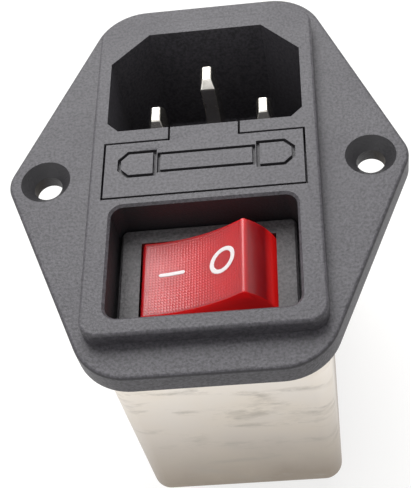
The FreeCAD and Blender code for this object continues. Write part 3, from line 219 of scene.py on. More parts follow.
def noise(tree: Tree, place: Socket, size_mm: float, detail: float = 2.0,
          roughness: float = 0.55, stretch: Corner | None = None) -> Socket:
    """Make a noise whose features have a real size.

    Args:
        tree: The node tree.
        place: Coordinates in metres.
        size_mm: The size of one feature.
        detail: How many finer layers it has.
        roughness: How strong the finer layers are.
        stretch: Factors on the three coordinates, for streaks.

    Returns:
        The noise value.
    """
    if stretch is not None:
        place = add_node(tree, "ShaderNodeMapping", {}, {
            "Vector": place, "Scale": stretch}).outputs["Vector"]
    return add_node(tree, "ShaderNodeTexNoise", {}, {
        "Vector": place, "Scale": 1.0 / (size_mm * MM), "Detail": detail,
        "Roughness": roughness}).outputs["Fac"]


def bumped(tree: Tree, height: Socket, depth_mm: float, strength: float = 1.0) -> Socket:
    """Turn a height into a bumped normal.

    Args:
        tree: The node tree.
        height: The height, 0 to 1.
        depth_mm: Real depth at a height of 1.
        strength: How much of it shows.

    Returns:
        The normal.
    """
    return add_node(tree, "ShaderNodeBump", {}, {
        "Strength": strength, "Distance": depth_mm * MM, "Height": height}).outputs["Normal"]


def split_place(tree: Tree, place: Socket) -> bpy.types.NodeOutputs:
    """Split a place into its parts.

    Args:
        tree: The node tree.
        place: The place.

    Returns:
        Its parts, by the names X, Y and Z.
    """
    return add_node(tree, "ShaderNodeSeparateXYZ", {}, {0: place}).outputs


def seen_directly(tree: Tree) -> Socket:
    """Tell what is seen, plainly, through glass or in gloss, from what only lights.

    Args:
        tree: The node tree.

    Returns:
        1 for seen rays, else 0.
    """
    ray = add_node(tree, "ShaderNodeLightPath").outputs
    clear = arithmetic(tree, "MAXIMUM", ray["Is Camera Ray"], ray["Is Transmission Ray"])
    return arithmetic(tree, "MAXIMUM", clear, ray["Is Glossy Ray"])


@dataclass(frozen=True)
class Finish:
    """What every procedural finish has in common."""

    name: str
    colour: str

    def inputs(self, tree: Tree, place: Socket) -> Inputs:
        """Give what goes into the Principled shader.

        Args:
            tree: The material's tree.
            place: Object coordinates, in metres.

        Returns:
            Values and sockets by input name.
        """
        raise NotImplementedError

    def shader(self, tree: Tree, place: Socket) -> Socket:
        """Give the shader that closes the tree, with the same arguments."""
        return add_node(tree, "ShaderNodeBsdfPrincipled", {},
                        self.inputs(tree, place)).outputs["BSDF"]

    def build(self) -> bpy.types.Material:
        """Make the material.

        Returns:
            The material.
        """
        material = bpy.data.materials.new(self.name)
        material.use_nodes = True
        tree = material.node_tree
        tree.nodes.clear()
        place = add_node(tree, "ShaderNodeTexCoord").outputs["Object"]
        add_node(tree, "ShaderNodeOutputMaterial", {}, {"Surface": self.shader(tree, place)})
        return material


@dataclass(frozen=True)
class MouldedPlastic(Finish):
    """Glass-filled nylon, moulded in a spark-eroded tool.

    The grain scatters a broad soft sheen over a black body, so a face that
    turns to the light reads as an even, faintly speckled grey. Faces marked for
    it, in hollows, grooves and along walls, get painted shade: a darker colour,
    near black, without the grain's speckle. The grain's size follows the speckle
    in the photograph and is taken to be coarser than the real one.
    """

    grain_mm: float = 0.34
    grain_depth_mm: float = 0.07
    patch_mm: float = 9.0
    rough: float = 0.5
    rough_swing: float = 0.03
    shade: float = 0.42
    painted_shade_level: float = 0.3

    def inputs(self, tree: Tree, place: Socket) -> Inputs:
        """Speckle the colour and the normal, and paint shade on the faces marked for it."""
        grain = noise(tree, place, self.grain_mm, roughness=0.6)
        patches = noise(tree, place, self.patch_mm, detail=3.0)
        base = linear(self.colour)
        tone = blended(tree, ramp(tree, grain, MIDDLE),
                       scaled(base, 1 - self.shade), scaled(base, 1 + self.shade))
        # Painted shade: marked faces take a darker colour without the grain's speckle
        painted_shade = add_node(tree, "ShaderNodeAttribute", {"attribute_name": PAINTED_SHADE_ATTRIBUTE}).outputs["Fac"]
        return {"Base Color": blended(tree, painted_shade, tone, scaled(base, self.painted_shade_level)),
                "IOR": 1.5, "Specular IOR Level": 0.5,
                "Roughness": ramp(tree, patches, WIDE, around(self.rough, self.rough_swing)),
                "Normal": bumped(tree, grain, self.grain_depth_mm)}


@dataclass(frozen=True)
class PlatedMetal(Finish):
    """Plated or bare sheet metal, rolled or drawn.

    Fine lines from the rolling run one way, and handling leaves cloudy smudges
    that are duller than the plating between them. Where it is handled most it is
    scuffed in short level streaks. Painted shade, standing in for darker
    reflections, darkens and browns it towards one end. Lines and scuffs are
    taken wider than real ones would be, so that they show.
    """

    dull: str
    rough: float = 0.28
    smudge: float = 0.12
    smudge_mm: float = 7.0
    film_span: Span = (0.36, 0.66)
    rough_span: Span = (0.34, 0.68)
    line_mm: float = 0.25
    line_depth_mm: float = 0.002
    line_stretch: Corner = (1.0, 1.0, 0.06)
    painted_rear_shade: str = ""
    painted_rear_shade_span: Span = (-30.0, 0.0)
    painted_rear_shade_wave: float = 16.0
    scuff: float = 0.0
    scuff_mm: float = 4.2
    scuff_wide: float = 0.16
    scuff_turn: Corner = (0.12, 0.2, 0.1)
    scuff_stretch: Corner = (0.3, 0.3, 0.8)
    scuff_shade: float = 0.5
    scuff_rough: float = 0.15
    group_mm: float = 3.2
    group_span: Span = (0.5, 0.64)
    group_stretch: Corner = (0.5, 0.5, 1.3)

    def scuffs(self, tree: Tree, place: Socket) -> Socket:
        """Draw broken streaks along stretched cells, in loose groups.

        Args:
            tree: The material's tree.
            place: Object coordinates, in metres.

        Returns:
            How scuffed a place is.
        """
        turned = add_node(tree, "ShaderNodeMapping", {}, {
            "Vector": place, "Rotation": self.scuff_turn, "Scale": self.scuff_stretch})
        cells = add_node(tree, "ShaderNodeTexVoronoi", {"feature": "DISTANCE_TO_EDGE"}, {
            "Vector": turned.outputs["Vector"], "Scale": 1.0 / (self.scuff_mm * MM)})
        streak = ramp(tree, cells.outputs["Distance"], (0.0, self.scuff_wide), FALLING)
        groups = noise(tree, place, self.group_mm, detail=5.0, roughness=0.66,
                       stretch=self.group_stretch)
        return arithmetic(tree, "MULTIPLY", streak,
                          ramp(tree, groups, self.group_span, (0.0, self.scuff)))

    def inputs(self, tree: Tree, place: Socket) -> Inputs:
        """Smudge and scuff the plating over its rolling lines, and paint shade towards one end."""
        lines = noise(tree, place, self.line_mm, roughness=0.5, stretch=self.line_stretch)
        cloud = noise(tree, place, self.smudge_mm, detail=4.0, roughness=0.62)
        tone = blended(tree, ramp(tree, cloud, self.film_span),
                       linear(self.colour), linear(self.dull))
        rough = ramp(tree, cloud, self.rough_span, (self.rough, self.rough + self.smudge))
        # Painted shade: darker and browner towards the closed end, its edge waved by the cloud
        if self.painted_rear_shade:
            wave = arithmetic(tree, "MULTIPLY_ADD", cloud, self.painted_rear_shade_wave * MM,
                              split_place(tree, place)["Z"])
            tone = blended(tree, ramp_mm(tree, wave, self.painted_rear_shade_span, FALLING),
                           tone, linear(self.painted_rear_shade))
        if self.scuff > 0:
            mark = self.scuffs(tree, place)
            tone = blended(tree, mark, tone, scaled(linear(self.dull), self.scuff_shade))
            rough = arithmetic(tree, "MULTIPLY_ADD", mark, self.scuff_rough, rough)
        return {"Base Color": tone, "Metallic": 1.0, "Roughness": rough,
                "Normal": bumped(tree, lines, self.line_depth_mm, strength=0.6)}


@dataclass(frozen=True)
class LensPlastic(Finish):
    """Red polycarbonate, moulded clear through and lit from inside when live.

    The skin is glossy over a red that is painted darker low down and past the
    ridge, as painted shade. A painted glow, by emission and by a brighter red at
    the thin end, stands in for light that enters the dished face, passes through
    the clear body and leaves faintly at its flanks and thin ends. Spans are in
    mm, in the rocker's own frame about its pivot.
    """

    # The colours of the painted shade and of the painted glow
    painted_shade: str
    glow: str
    tilt: float
    place: Corner
    rough: float = 0.34
    rough_swing: float = 0.05
    flow_mm: float = 3.5
    flow_span: Span = (0.35, 0.7)
    flow_shade: float = 0.86
    low_span: Span = (3.2, 4.3)
    ridge_span: Span = (6.55, 6.85)
    end_span: Span = (7.95, 8.3)
    end_glow: float = 0.34
    flank_span: Span = (4.95, 5.05)
    flank_glow: float = 0.34
    flank_reach: Span = (-3.0, 6.0)
    flank_fade: Span = (1.3, 0.6)
    dust_mm: float = 0.35
    dust_depth_mm: float = 0.004

    def inputs(self, tree: Tree, place: Socket) -> Inputs:
        """Paint shade low down and past the ridge, and paint a glow at the rims."""
        own = add_node(tree, "ShaderNodeMapping", {"vector_type": "TEXTURE"}, {
            "Vector": place, "Location": tuple(part * MM for part in self.place),
            "Rotation": (0.0, self.tilt, 0.0)}).outputs["Vector"]
        at = split_place(tree, own)
        base = linear(self.colour)
        flow = noise(tree, own, self.flow_mm, detail=3.0)
        body = blended(tree, ramp(tree, flow, self.flow_span),
                       base, scaled(base, self.flow_shade))
        # Painted shade: darker red low on the skirt and past the ridge
        low = arithmetic(tree, "MAXIMUM", ramp_mm(tree, at["Z"], self.low_span, FALLING),
                         ramp_mm(tree, at["X"], self.ridge_span))
        body = blended(tree, low, body, linear(self.painted_shade))
        # Painted glow at the thin end: a brighter red here, and emission below
        end = ramp_mm(tree, at["X"], self.end_span)
        body = blended(tree, end, body, linear(self.glow))
        # Painted glow at the flanks, by emission
        flank = ramp_mm(tree, arithmetic(tree, "ABSOLUTE", at["Y"]), self.flank_span,
                        (0.0, self.flank_glow))
        flank = arithmetic(tree, "MULTIPLY", flank,
                           ramp_mm(tree, at["X"], self.flank_reach, self.flank_fade))
        painted_glow = arithmetic(tree, "MAXIMUM", flank,
                         arithmetic(tree, "MULTIPLY", end, self.end_glow))
        dust = noise(tree, own, self.dust_mm)
        return {"Base Color": body, "IOR": 1.58, "Coat Weight": 0.04, "Coat Roughness": 0.2,
                "Emission Color": linear(self.glow), "Emission Strength": painted_glow,
                "Subsurface Weight": 0.75, "Subsurface Scale": MM,
                "Subsurface Radius": (4.0, 0.25, 0.2),
                "Roughness": ramp(tree, flow, WIDE, around(self.rough, self.rough_swing)),
                "Normal": bumped(tree, dust, self.dust_depth_mm, strength=0.5)}


@dataclass(frozen=True)
class PrintedInk(Finish):
    """Pad-printed white ink, laid on thick and not quite level.

    Its edge is soft and its top faintly mottled, so it doesn't look cut out.
    """

    mottle_mm: float = 0.4
    mottle_depth_mm: float = 0.01
    mottle_share: float = 0.5
    mottle_shade: float = 0.85
    rough_span: Span = (0.4, 0.55)

    def inputs(self, tree: Tree, place: Socket) -> Inputs:
        """Mottle the ink's colour, gloss and level."""
        mottle = noise(tree, place, self.mottle_mm, detail=3.0)
        base = linear(self.colour)
        return {"Base Color": blended(tree, ramp(tree, mottle, HIGH, (0.0, self.mottle_share)),
                                      base, scaled(base, self.mottle_shade)),
                "IOR": 1.48, "Roughness": ramp(tree, mottle, WIDE, self.rough_span),
                "Normal": bumped(tree, mottle, self.mottle_depth_mm, strength=0.4)}


@dataclass(frozen=True)
class Glass(Finish):
    """Soda-lime tube glass, drawn.

    Clear, with long faint draw lines that bend what is seen through it.
    """

    line_mm: float = 1.4
    line_depth_mm: float = 0.01
    cloud_mm: float = 2.5
    cloud_span: Span = (0.4, 0.8)
    cloud_share: float = 0.4
    cloud_shade: float = 0.92
    rough_span: Span = (0.03, 0.1)

    def inputs(self, tree: Tree, place: Socket) -> Inputs:
        """Cloud the glass faintly and wave it along its draw lines."""
        lines = noise(tree, place, self.line_mm, detail=1.0, roughness=0.5, stretch=ALONG_X)
        cloud = noise(tree, place, self.cloud_mm)
        base = linear(self.colour)
        film = ramp(tree, cloud, self.cloud_span, (0.0, self.cloud_share))
        return {"Base Color": blended(tree, film, base, scaled(base, self.cloud_shade)),
                "Transmission Weight": 0.92, "IOR": 1.5,
                "Roughness": ramp(tree, cloud, self.cloud_span, self.rough_span),
                "Normal": bumped(tree, lines, self.line_depth_mm, strength=0.3)}


@dataclass(frozen=True)
class Lacquer(Finish):
    """Dipped or sprayed lacquer over a ceramic, copper or ferrite core.

    It pulls tight and glossy, with a slow orange-peel wave and small pits. Bands
    are painted round a resistor at even steps along X.
    """

    rough: float = 0.3
    rough_swing: float = 0.06
    peel_mm: float = 0.6
    peel_depth_mm: float = 0.01
    speck_span: Span = (0.4, 0.7)
    speck_share: float = 0.25
    speck_shade: float = 0.78
    bands: tuple[str, ...] = ()
    band_from: float = 0.0
    band_step: float = 1.0
    band_half: Span = (0.22, 0.28)

    def inputs(self, tree: Tree, place: Socket) -> Inputs:
        """Speck the lacquer, wave its skin and paint its bands."""
        peel = noise(tree, place, self.peel_mm)
        speck = noise(tree, place, self.peel_mm * self.speck_share, detail=1.0)
        base = linear(self.colour)
        tone = blended(tree, ramp(tree, speck, self.speck_span),
                       base, scaled(base, self.speck_shade))
        half = (self.band_half[0] * self.band_step, self.band_half[1] * self.band_step)
        for index, code in enumerate(self.bands):
            middle = (self.band_from + index * self.band_step) * MM
            away = arithmetic(tree, "SUBTRACT", split_place(tree, place)["X"], middle)
            inside = ramp_mm(tree, arithmetic(tree, "ABSOLUTE", away), half, FALLING)
            tone = blended(tree, inside, tone, linear(code))
        return {"Base Color": tone, "IOR": 1.52, "Coat Weight": 0.3, "Coat Roughness": 0.15,
                "Roughness": ramp(tree, peel, WIDE, around(self.rough, self.rough_swing)),
                "Normal": bumped(tree, peel, self.peel_depth_mm, strength=0.6)}


@dataclass(frozen=True)
class Laminate(Finish):
    """Resin-bonded paper board, pressed.

    Paper fibres show as long pale flecks under a satin resin.
    """

    fleck: str
    fibre_mm: float = 0.5
    fibre_span: Span = (0.4, 0.68)
    fibre_depth_mm: float = 0.008
    lay: Corner = (0.25, 1.0, 1.0)
    rough_span: Span = (0.4, 0.55)

    def inputs(self, tree: Tree, place: Socket) -> Inputs:
        """Lay pale fibres into the resin."""
        fibres = noise(tree, place, self.fibre_mm, detail=3.0, roughness=0.6, stretch=self.lay)
        return {"Base Color": blended(tree, ramp(tree, fibres, self.fibre_span),
                                      linear(self.colour), linear(self.fleck)),
                "IOR": 1.5, "Roughness": ramp(tree, fibres, WIDE, self.rough_span),
                "Normal": bumped(tree, fibres, self.fibre_depth_mm, strength=0.5)}


@dataclass(frozen=True)
class Sleeve(Finish):
    """PVC wire sleeve, extruded.

    Soft gloss with long die lines and a little dust.
    """

    line_mm: float = 0.3
    line_depth_mm: float = 0.006
    drawn: Corner = (1.0, 1.0, 0.08)
    dust_mm: float = 1.5
    dust_share: float = 0.7
    dust_shade: float = 1.35
    rough_span: Span = (0.34, 0.48)

    def inputs(self, tree: Tree, place: Socket) -> Inputs:
        """Draw the die lines and dust the sleeve."""
        lines = noise(tree, place, self.line_mm, roughness=0.5, stretch=self.drawn)
        dust = noise(tree, place, self.dust_mm, detail=3.0)
        base = linear(self.colour)
        return {"Base Color": blended(tree, ramp(tree, dust, HIGH, (0.0, self.dust_share)),
                                      base, scaled(base, self.dust_shade)),
                "IOR": 1.53, "Roughness": ramp(tree, dust, WIDE, self.rough_span),
                "Normal": bumped(tree, lines, self.line_depth_mm, strength=0.5)}


@dataclass(frozen=True)
class Sweep(Finish):
    """Painted paper sweep under and behind the object.

    White to the eye, and it still takes the object's soft shadow.
    """

    name: str = "painted_paper_sweep"
    colour: str = "F2F1EF"
    tooth_mm: float = 0.8
    tooth_shade: float = 0.98
    lift: float = 0.72
    share: float = 0.42

    def shader(self, tree: Tree, place: Socket) -> Socket:
        """Mix plain paper, which lights the object, with lifted paper, which is seen."""
        base = linear(self.colour)
        tooth = noise(tree, place, self.tooth_mm)
        tone = blended(tree, tooth, base, scaled(base, self.tooth_shade))
        paper = add_node(tree, "ShaderNodeBsdfDiffuse", {}, {"Color": tone})
        seen = add_node(tree, "ShaderNodeBsdfDiffuse", {}, {"Color": scaled(base, self.share)})
        glow = add_node(tree, "ShaderNodeEmission", {}, {
            "Color": WHITE, "Strength": self.lift})
        white = add_node(tree, "ShaderNodeAddShader", {}, {
            0: seen.outputs["BSDF"], 1: glow.outputs["Emission"]})
        return add_node(tree, "ShaderNodeMixShader", {}, {
            0: seen_directly(tree), 1: paper.outputs["BSDF"],
            2: white.outputs["Shader"]}).outputs["Shader"]


class Slot(Enum):
    """The material slots that the pieces take their finish from."""

    FRONT = "front_moulding"
    DRAWER = "drawer_moulding"
    BEZEL = "bezel_moulding"
    BASE = "base_moulding"
    ROCKER = "rocker_moulding"
    CAN = "nickel_steel"
    PIN = "nickel_pin"
    TINNED = "tinned_brass"
    BRONZE = "spring_bronze"
    SILVER = "contact_silver"
    SPRING = "spring_steel"
    FUSE_GLASS = "fuse_glass"
    FUSE_WIRE = "fuse_wire"
    LAMP_GLASS = "lamp_glass"
    WIRE = "lead_wire"
    RESISTOR = "resistor_body"
    BLEEDER = "bleeder_body"
    BOARD = "board"
    FERRITE = "ferrite"
    COPPER = "enamel_copper"
    X_CAP = "x_cap_case"
    Y_CAP = "y_cap_body"
    INSULATOR = "insulator"
    BROWN = "lead_brown"
    BLUE = "lead_blue"


# Where the rocker turns, in mm, and how far it is tipped at rest
ROCKER_PIVOT: Corner = (0.0, -14.075, -2.6)
ROCKER_TILT = math.radians(-17.1)

FINISHES: dict[Slot, Finish] = {
    # The three that show are dull speckled greys, each a little off the next
    Slot.FRONT: MouldedPlastic("moulded_black_nylon_front", "49474C"),
    # The drawer's painted shade, in its sign's grooves, is lighter than the front's
    Slot.DRAWER: MouldedPlastic("moulded_black_nylon_drawer", "4C4A4F", painted_shade_level=0.55),
    Slot.BEZEL: MouldedPlastic("moulded_grey_nylon_bezel", "4A484A", rough=0.56),
    Slot.BASE: MouldedPlastic("moulded_black_nylon_base", "1E1E20", rough=0.45),
    # The one bright colour: painted shade low and past the ridge, painted glow at the rims
    Slot.ROCKER: LensPlastic("moulded_red_polycarbonate", "DA1721", "9A1019", "E01616",
                             ROCKER_TILT, ROCKER_PIVOT),
    # Warm silver that is scuffed, with painted shade that darkens and browns it at the rear
    Slot.CAN: PlatedMetal("nickel_plated_drawn_steel", "EDE7E0", "E2DACF", rough=0.34,
                          smudge=0.14, smudge_mm=10.0, scuff=0.62, painted_rear_shade="8F8375"),
    # Bright small metals: sharp glints on pins, warmer and duller on tabs and clips
    Slot.PIN: PlatedMetal("nickel_plated_brass_pin", "E4E1DA", "CFCBC3", rough=0.2,
                          smudge=0.08, smudge_mm=2.0),
    Slot.TINNED: PlatedMetal("tin_plated_brass_tab", "D6D0BE", "B9B09A", rough=0.3,
                             smudge_mm=3.0),
    Slot.BRONZE: PlatedMetal("rolled_phosphor_bronze", "D3A870", "B0874F", rough=0.26,
                             smudge_mm=2.0),
    Slot.SILVER: PlatedMetal("turned_contact_silver", "E6E4DE", "C4C0B6", rough=0.3,
                             smudge_mm=0.8),
    Slot.SPRING: PlatedMetal("drawn_spring_steel", "B9B9BA", "8F8F90", rough=0.25,
                             smudge_mm=1.0),
    Slot.FUSE_WIRE: PlatedMetal("drawn_fuse_wire", "C9C4B8", "A39E92", rough=0.3,
                                smudge_mm=1.0),
    Slot.WIRE: PlatedMetal("tinned_copper_wire", "CFCDC8", "A8A5A0", rough=0.32,
                           smudge_mm=1.0),
    # Clear glass that shows what it holds, the lamp's tinted warm
    Slot.FUSE_GLASS: Glass("drawn_fuse_glass", "F2F6F4"),
    Slot.LAMP_GLASS: Glass("drawn_lamp_glass", "F6D9C0"),
    # Dipped parts: glossy drops of colour, banded on the resistors
    Slot.RESISTOR: Lacquer("dipped_carbon_film_resistor", "C9B07C",
                           bands=("6A3A1C", "1B1B1C", "B88A1E"), band_from=-1.5, band_step=1.2),
    Slot.BLEEDER: Lacquer("dipped_metal_film_resistor", "5E93B0",
                          bands=("6A3A1C", "1B1B1C", "B2711E", "8A1F1F"), band_from=-2.1,
                          band_step=1.35),
    Slot.Y_CAP: Lacquer("dipped_ceramic_capacitor", "2F6BB4"),
    Slot.FERRITE: Lacquer("sintered_ferrite", "2B2B2D", rough=0.6, peel_mm=0.3),
    Slot.COPPER: Lacquer("enamelled_copper_wire", "A2501F", rough=0.22, peel_mm=0.4,
                         peel_depth_mm=0.003),
    # Flecked board, a yellow case and a black block, all satin
    Slot.BOARD: Laminate("pressed_paper_laminate_board", "A98B4C", "C7AD70"),
    Slot.X_CAP: MouldedPlastic("moulded_polyester_capacitor_case", "D2C04E", rough=0.42,
                               shade=0.05),
    Slot.INSULATOR: MouldedPlastic("moulded_black_nylon_insulator", "232325", rough=0.46),
    # Soft gloss lines along the wires
    Slot.BROWN: Sleeve("extruded_brown_sleeve", "5A2F1A"),
    Slot.BLUE: Sleeve("extruded_blue_sleeve", "1E4696"),
}

INK = PrintedInk("pad_printed_white_ink", "F4EDEE")

# Bevels: a plain edge break, and one whose radius follows the edges' weights
EDGE_BREAK = {"segments": 2, "limit_method": "ANGLE", "angle_limit": SHARP_ANGLE,
              "harden_normals": True, "miter_outer": "MITER_ARC"}
WEIGHTED_BREAK = {"segments": 4, "limit_method": "WEIGHT", "loop_slide": True}

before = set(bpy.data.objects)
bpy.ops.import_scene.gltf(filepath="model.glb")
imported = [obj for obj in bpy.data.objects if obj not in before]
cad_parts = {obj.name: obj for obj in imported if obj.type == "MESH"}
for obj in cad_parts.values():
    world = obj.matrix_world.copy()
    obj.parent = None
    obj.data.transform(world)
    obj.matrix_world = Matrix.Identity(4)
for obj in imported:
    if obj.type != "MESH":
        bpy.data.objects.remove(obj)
cad_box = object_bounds()
built: dict[Finish, bpy.types.Material] = {}


def finish_of(look: Finish) -> bpy.types.Material:
    """Make a finish's material once and give it back after that.

    Args:
        look: The finish.

    Returns:
        Its material.
    """
    if look not in built:
        built[look] = look.build()
    return built[look]


def hard_edges(solid: bmesh.types.BMesh) -> None:
    """Shade every face smooth and keep the edges that turn sharply hard.

    Args:
        solid: The mesh to mark.
    """
    for face in solid.faces:
        face.smooth = True
    for edge in solid.edges:
        edge.smooth = edge.calc_face_angle(0.0) < SHARP_ANGLE


def cleaned(mesh: bpy.types.Mesh) -> bmesh.types.BMesh:
    """Merge a mesh's doubled points and level faces, and mark its hard edges.

    Args:
        mesh: The mesh to read.

    Returns:
        The cleaned mesh.
    """
    solid = bmesh.new()
    solid.from_mesh(mesh)
    bmesh.ops.remove_doubles(solid, verts=solid.verts, dist=MERGE_GAP)
    bmesh.ops.dissolve_limit(solid, angle_limit=FLAT_ANGLE, verts=solid.verts,
                             edges=solid.edges)
    hard_edges(solid)
    return solid


def reshaded(item: bpy.types.Object) -> None:
    """Clean an object's mesh again after a cut.

    Args:
        item: The object.
    """
    solid = cleaned(item.data)
    solid.to_mesh(item.data)
    solid.free()


def solid_object(name: str, solid: bmesh.types.BMesh) -> bpy.types.Object:
    """Put a mesh into the scene as an object.

    Args:
        name: The object's name.
        solid: Its mesh, which is freed.

    Returns:
        The object.
    """
    mesh = bpy.data.meshes.new(name)
    solid.to_mesh(mesh)
    solid.free()
    made = bpy.data.objects.new(name, mesh)
    bpy.context.scene.collection.objects.link(made)
    return made


def modified(item: bpy.types.Object, kind: str, settings: dict[str, object],
             given: dict[str, float] | None = None) -> None:
    """Run one modifier on an object and keep what it makes as plain mesh.

    Args:
        item: The object.
        kind: The modifier's type.
        settings: Its fields.
        given: A node group's inputs, by socket identifier.
    """
    maker = item.modifiers.new(kind.lower(), kind)
    for name, value in settings.items():
        setattr(maker, name, value)
    for identifier, value in (given or {}).items():
        maker[identifier] = value
    bpy.context.view_layer.update()
    graph = bpy.context.evaluated_depsgraph_get()
    mesh = bpy.data.meshes.new_from_object(item.evaluated_get(graph), depsgraph=graph)
    item.modifiers.clear()
    item.data = mesh


def combined(item: bpy.types.Object, tool: bpy.types.Object, operation: str) -> None:
    """Cut a tool from an object, or join it on.

    Args:
        item: The object that is changed.
        tool: The tool, which is deleted after.
        operation: DIFFERENCE or UNION.
    """
    modified(item, "BOOLEAN", {"operation": operation, "solver": "EXACT", "object": tool})
    bpy.data.objects.remove(tool)


def mark_painted_shade(item: bpy.types.Object, painted_shade_level: Callable[[Vector, Vector], float]) -> None:
    """Mark how much painted shade each face of a moulding gets, for its material to read.

    Args:
        item: The object.
        painted_shade_level: From a face's middle in mm and its normal, its painted shade, 0 to 1.
    """
    marks = item.data.attributes.new(PAINTED_SHADE_ATTRIBUTE, "FLOAT", "FACE")
    for face in item.data.polygons:
        marks.data[face.index].value = float(painted_shade_level(face.center / MM, face.normal))


def strips(solid: bmesh.types.BMesh, rows: Sequence[Sequence[bmesh.types.BMVert]],
           closed: bool = True) -> None:
    """Join each row of points to the next by four-sided faces.

    Args:
        solid: The mesh that gets the faces.
        rows: Rows of as many points each.
        closed: Whether a row's last point joins its first.
    """
    count = len(rows[0])
    for first, second in zip(rows, rows[1:]):
        for index in range(count if closed else count - 1):
            after = (index + 1) % count
            solid.faces.new((first[index], first[after], second[after], second[index]))


def prism(outline: Sequence[Point], low: float, high: float, along: str = "Z",
          hole: Sequence[Point] = ()) -> bmesh.types.BMesh:
    """Make a straight prism from an outline, with an inner outline cut out of it.

    Args:
        outline: Points counter-clockwise in the outline's plane, in mm.
        low: Where it starts along its length, in mm.
        high: Where it ends.
        along: Z for an outline in X and Y, or Y for one in X and Z.
        hole: As many points as the outline has, or none.

    Returns:
        A closed mesh in metres, faces outwards.
    """
    solid = bmesh.new()

    def ring(points: Sequence[Point], level: float) -> list[bmesh.types.BMVert]:
        return [solid.verts.new(Vector((a, b, level) if along == "Z" else (a, level, b)) * MM)
                for a, b in points]

    rows = [ring(outline, low), ring(outline, high)]
    if hole:
        rows += [ring(hole, high), ring(hole, low), rows[0]]
    else:
        solid.faces.new(rows[1])
        solid.faces.new(rows[0][::-1])
    strips(solid, rows)
    bmesh.ops.recalc_face_normals(solid, faces=solid.faces)
    return solid


def arc(centre: Point, radius: float, start: float, end: float, steps: int) -> list[Point]:
    """Give the points of an arc, both ends included.

    Args:
        centre: Its centre, in mm.
        radius: Its radius, in mm.
        start: Start angle in radians.
        end: End angle in radians.
        steps: How many chords it has.

    Returns:
        The points.
    """
    turns = [start + (end - start) * index / steps for index in range(steps + 1)]
    return [(centre[0] + radius * math.cos(turn), centre[1] + radius * math.sin(turn))
            for turn in turns]


@dataclass(frozen=True)
class Stand:
    """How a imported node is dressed.

    With a name, a copy of that name stands in its place, its edges broken by a
    radius in mm. Without one, the node keeps its own mesh.
    """

    name: str
    node: str
    slot: Slot
    edge: float = 0.0
    body: str = "module"


@dataclass
class Assembly:
    """What every sub-assembly needs to dress its nodes and add its pieces."""

    stands: tuple[Stand, ...] = ()
    report: list[str] = field(default_factory=list)

    def copied(self, name: str, node: str) -> bpy.types.Object:
        """Copy a node's mesh, merged and shaded smooth between its hard edges.

        Args:
            name: The copy's name.
            node: The node.

        Returns:
            The copy.
        """
        return solid_object(name, cleaned(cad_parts[node].data))

    def settle(self, item: bpy.types.Object, slot: Slot, body: str,
               node: str = "", look: Finish | None = None) -> None:
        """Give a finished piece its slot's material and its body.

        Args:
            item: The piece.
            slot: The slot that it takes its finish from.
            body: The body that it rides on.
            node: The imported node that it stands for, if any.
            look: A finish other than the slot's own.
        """
        item.data.materials.clear()
        item.data.materials.append(finish_of(look or FINISHES[slot]))
        for face in item.data.polygons:
            face.material_index = 0
        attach(item, body)
        if node:
            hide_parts(node)
        self.report.append(item.name)

    def dress(self, stand: Stand) -> bpy.types.Object:
        """Stand a softened copy in a node's place, or paint the node itself.

        Args:
            stand: How the node is dressed.

        Returns:
            The copy, or the node.
        """
        if stand.name:
            item = self.copied(stand.name, stand.node)
            if stand.edge > 0:
                modified(item, "BEVEL", {"width": stand.edge * MM, **EDGE_BREAK})
            self.settle(item, stand.slot, stand.body, stand.node)
            return item
        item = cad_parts[stand.node]
        item.data.materials.clear()
        item.data.materials.append(finish_of(FINISHES[stand.slot]))
        self.report.append(stand.node)
        return item

    def build(self) -> None:
        """Dress the nodes in the table, in order."""
        for stand in self.stands:
            self.dress(stand)


@dataclass
class Viewpoint:
    """The camera, where the photograph was taken from."""

    place: Corner = (15.62, -83.35, 103.42)
    turn: Corner = (32.537, 6.298, -1.047)
    focal_px: float = 1070.16
    centre_px: Point = (255.5, 294.0)
    sensor: float = 36.0
    nearest: float = 0.01
    farthest: float = 20.0

    def build(self) -> None:
        """Make the camera and take it as the scene's own."""
        data = bpy.data.cameras.new("viewpoint")
        data.sensor_width = self.sensor
        data.lens = self.focal_px / PHOTO_HEIGHT * self.sensor
        data.shift_x = (PHOTO_WIDTH / 2 - self.centre_px[0]) / PHOTO_HEIGHT
        data.shift_y = (self.centre_px[1] - PHOTO_HEIGHT / 2) / PHOTO_HEIGHT
        data.clip_start = self.nearest
        data.clip_end = self.farthest
        data.dof.use_dof = False
        item = bpy.data.objects.new("viewpoint", data)
        item.location = Vector(self.place) * MM
        item.rotation_euler = Euler([math.radians(part) for part in self.turn], "XYZ")
        bpy.context.scene.collection.objects.link(item)
        bpy.context.scene.camera = item


@dataclass(frozen=True)
class Lamp:
    """A square soft box that hangs facing the object: place and side in mm, power in W."""

    name: str
    place: Corner
    side: float
    power: float

    def build(self) -> None:
        """Hang the lamp."""
        data = bpy.data.lights.new(self.name, "AREA")
        data.shape = "SQUARE"
        data.size = self.side * MM
        data.energy = self.power
        item = bpy.data.objects.new(self.name, data)
        item.location = Vector(self.place) * MM
        item.rotation_mode = "QUATERNION"
        item.rotation_quaternion = (-Vector(self.place)).to_track_quat("-Z", "Y")
        bpy.context.scene.collection.objects.link(item)


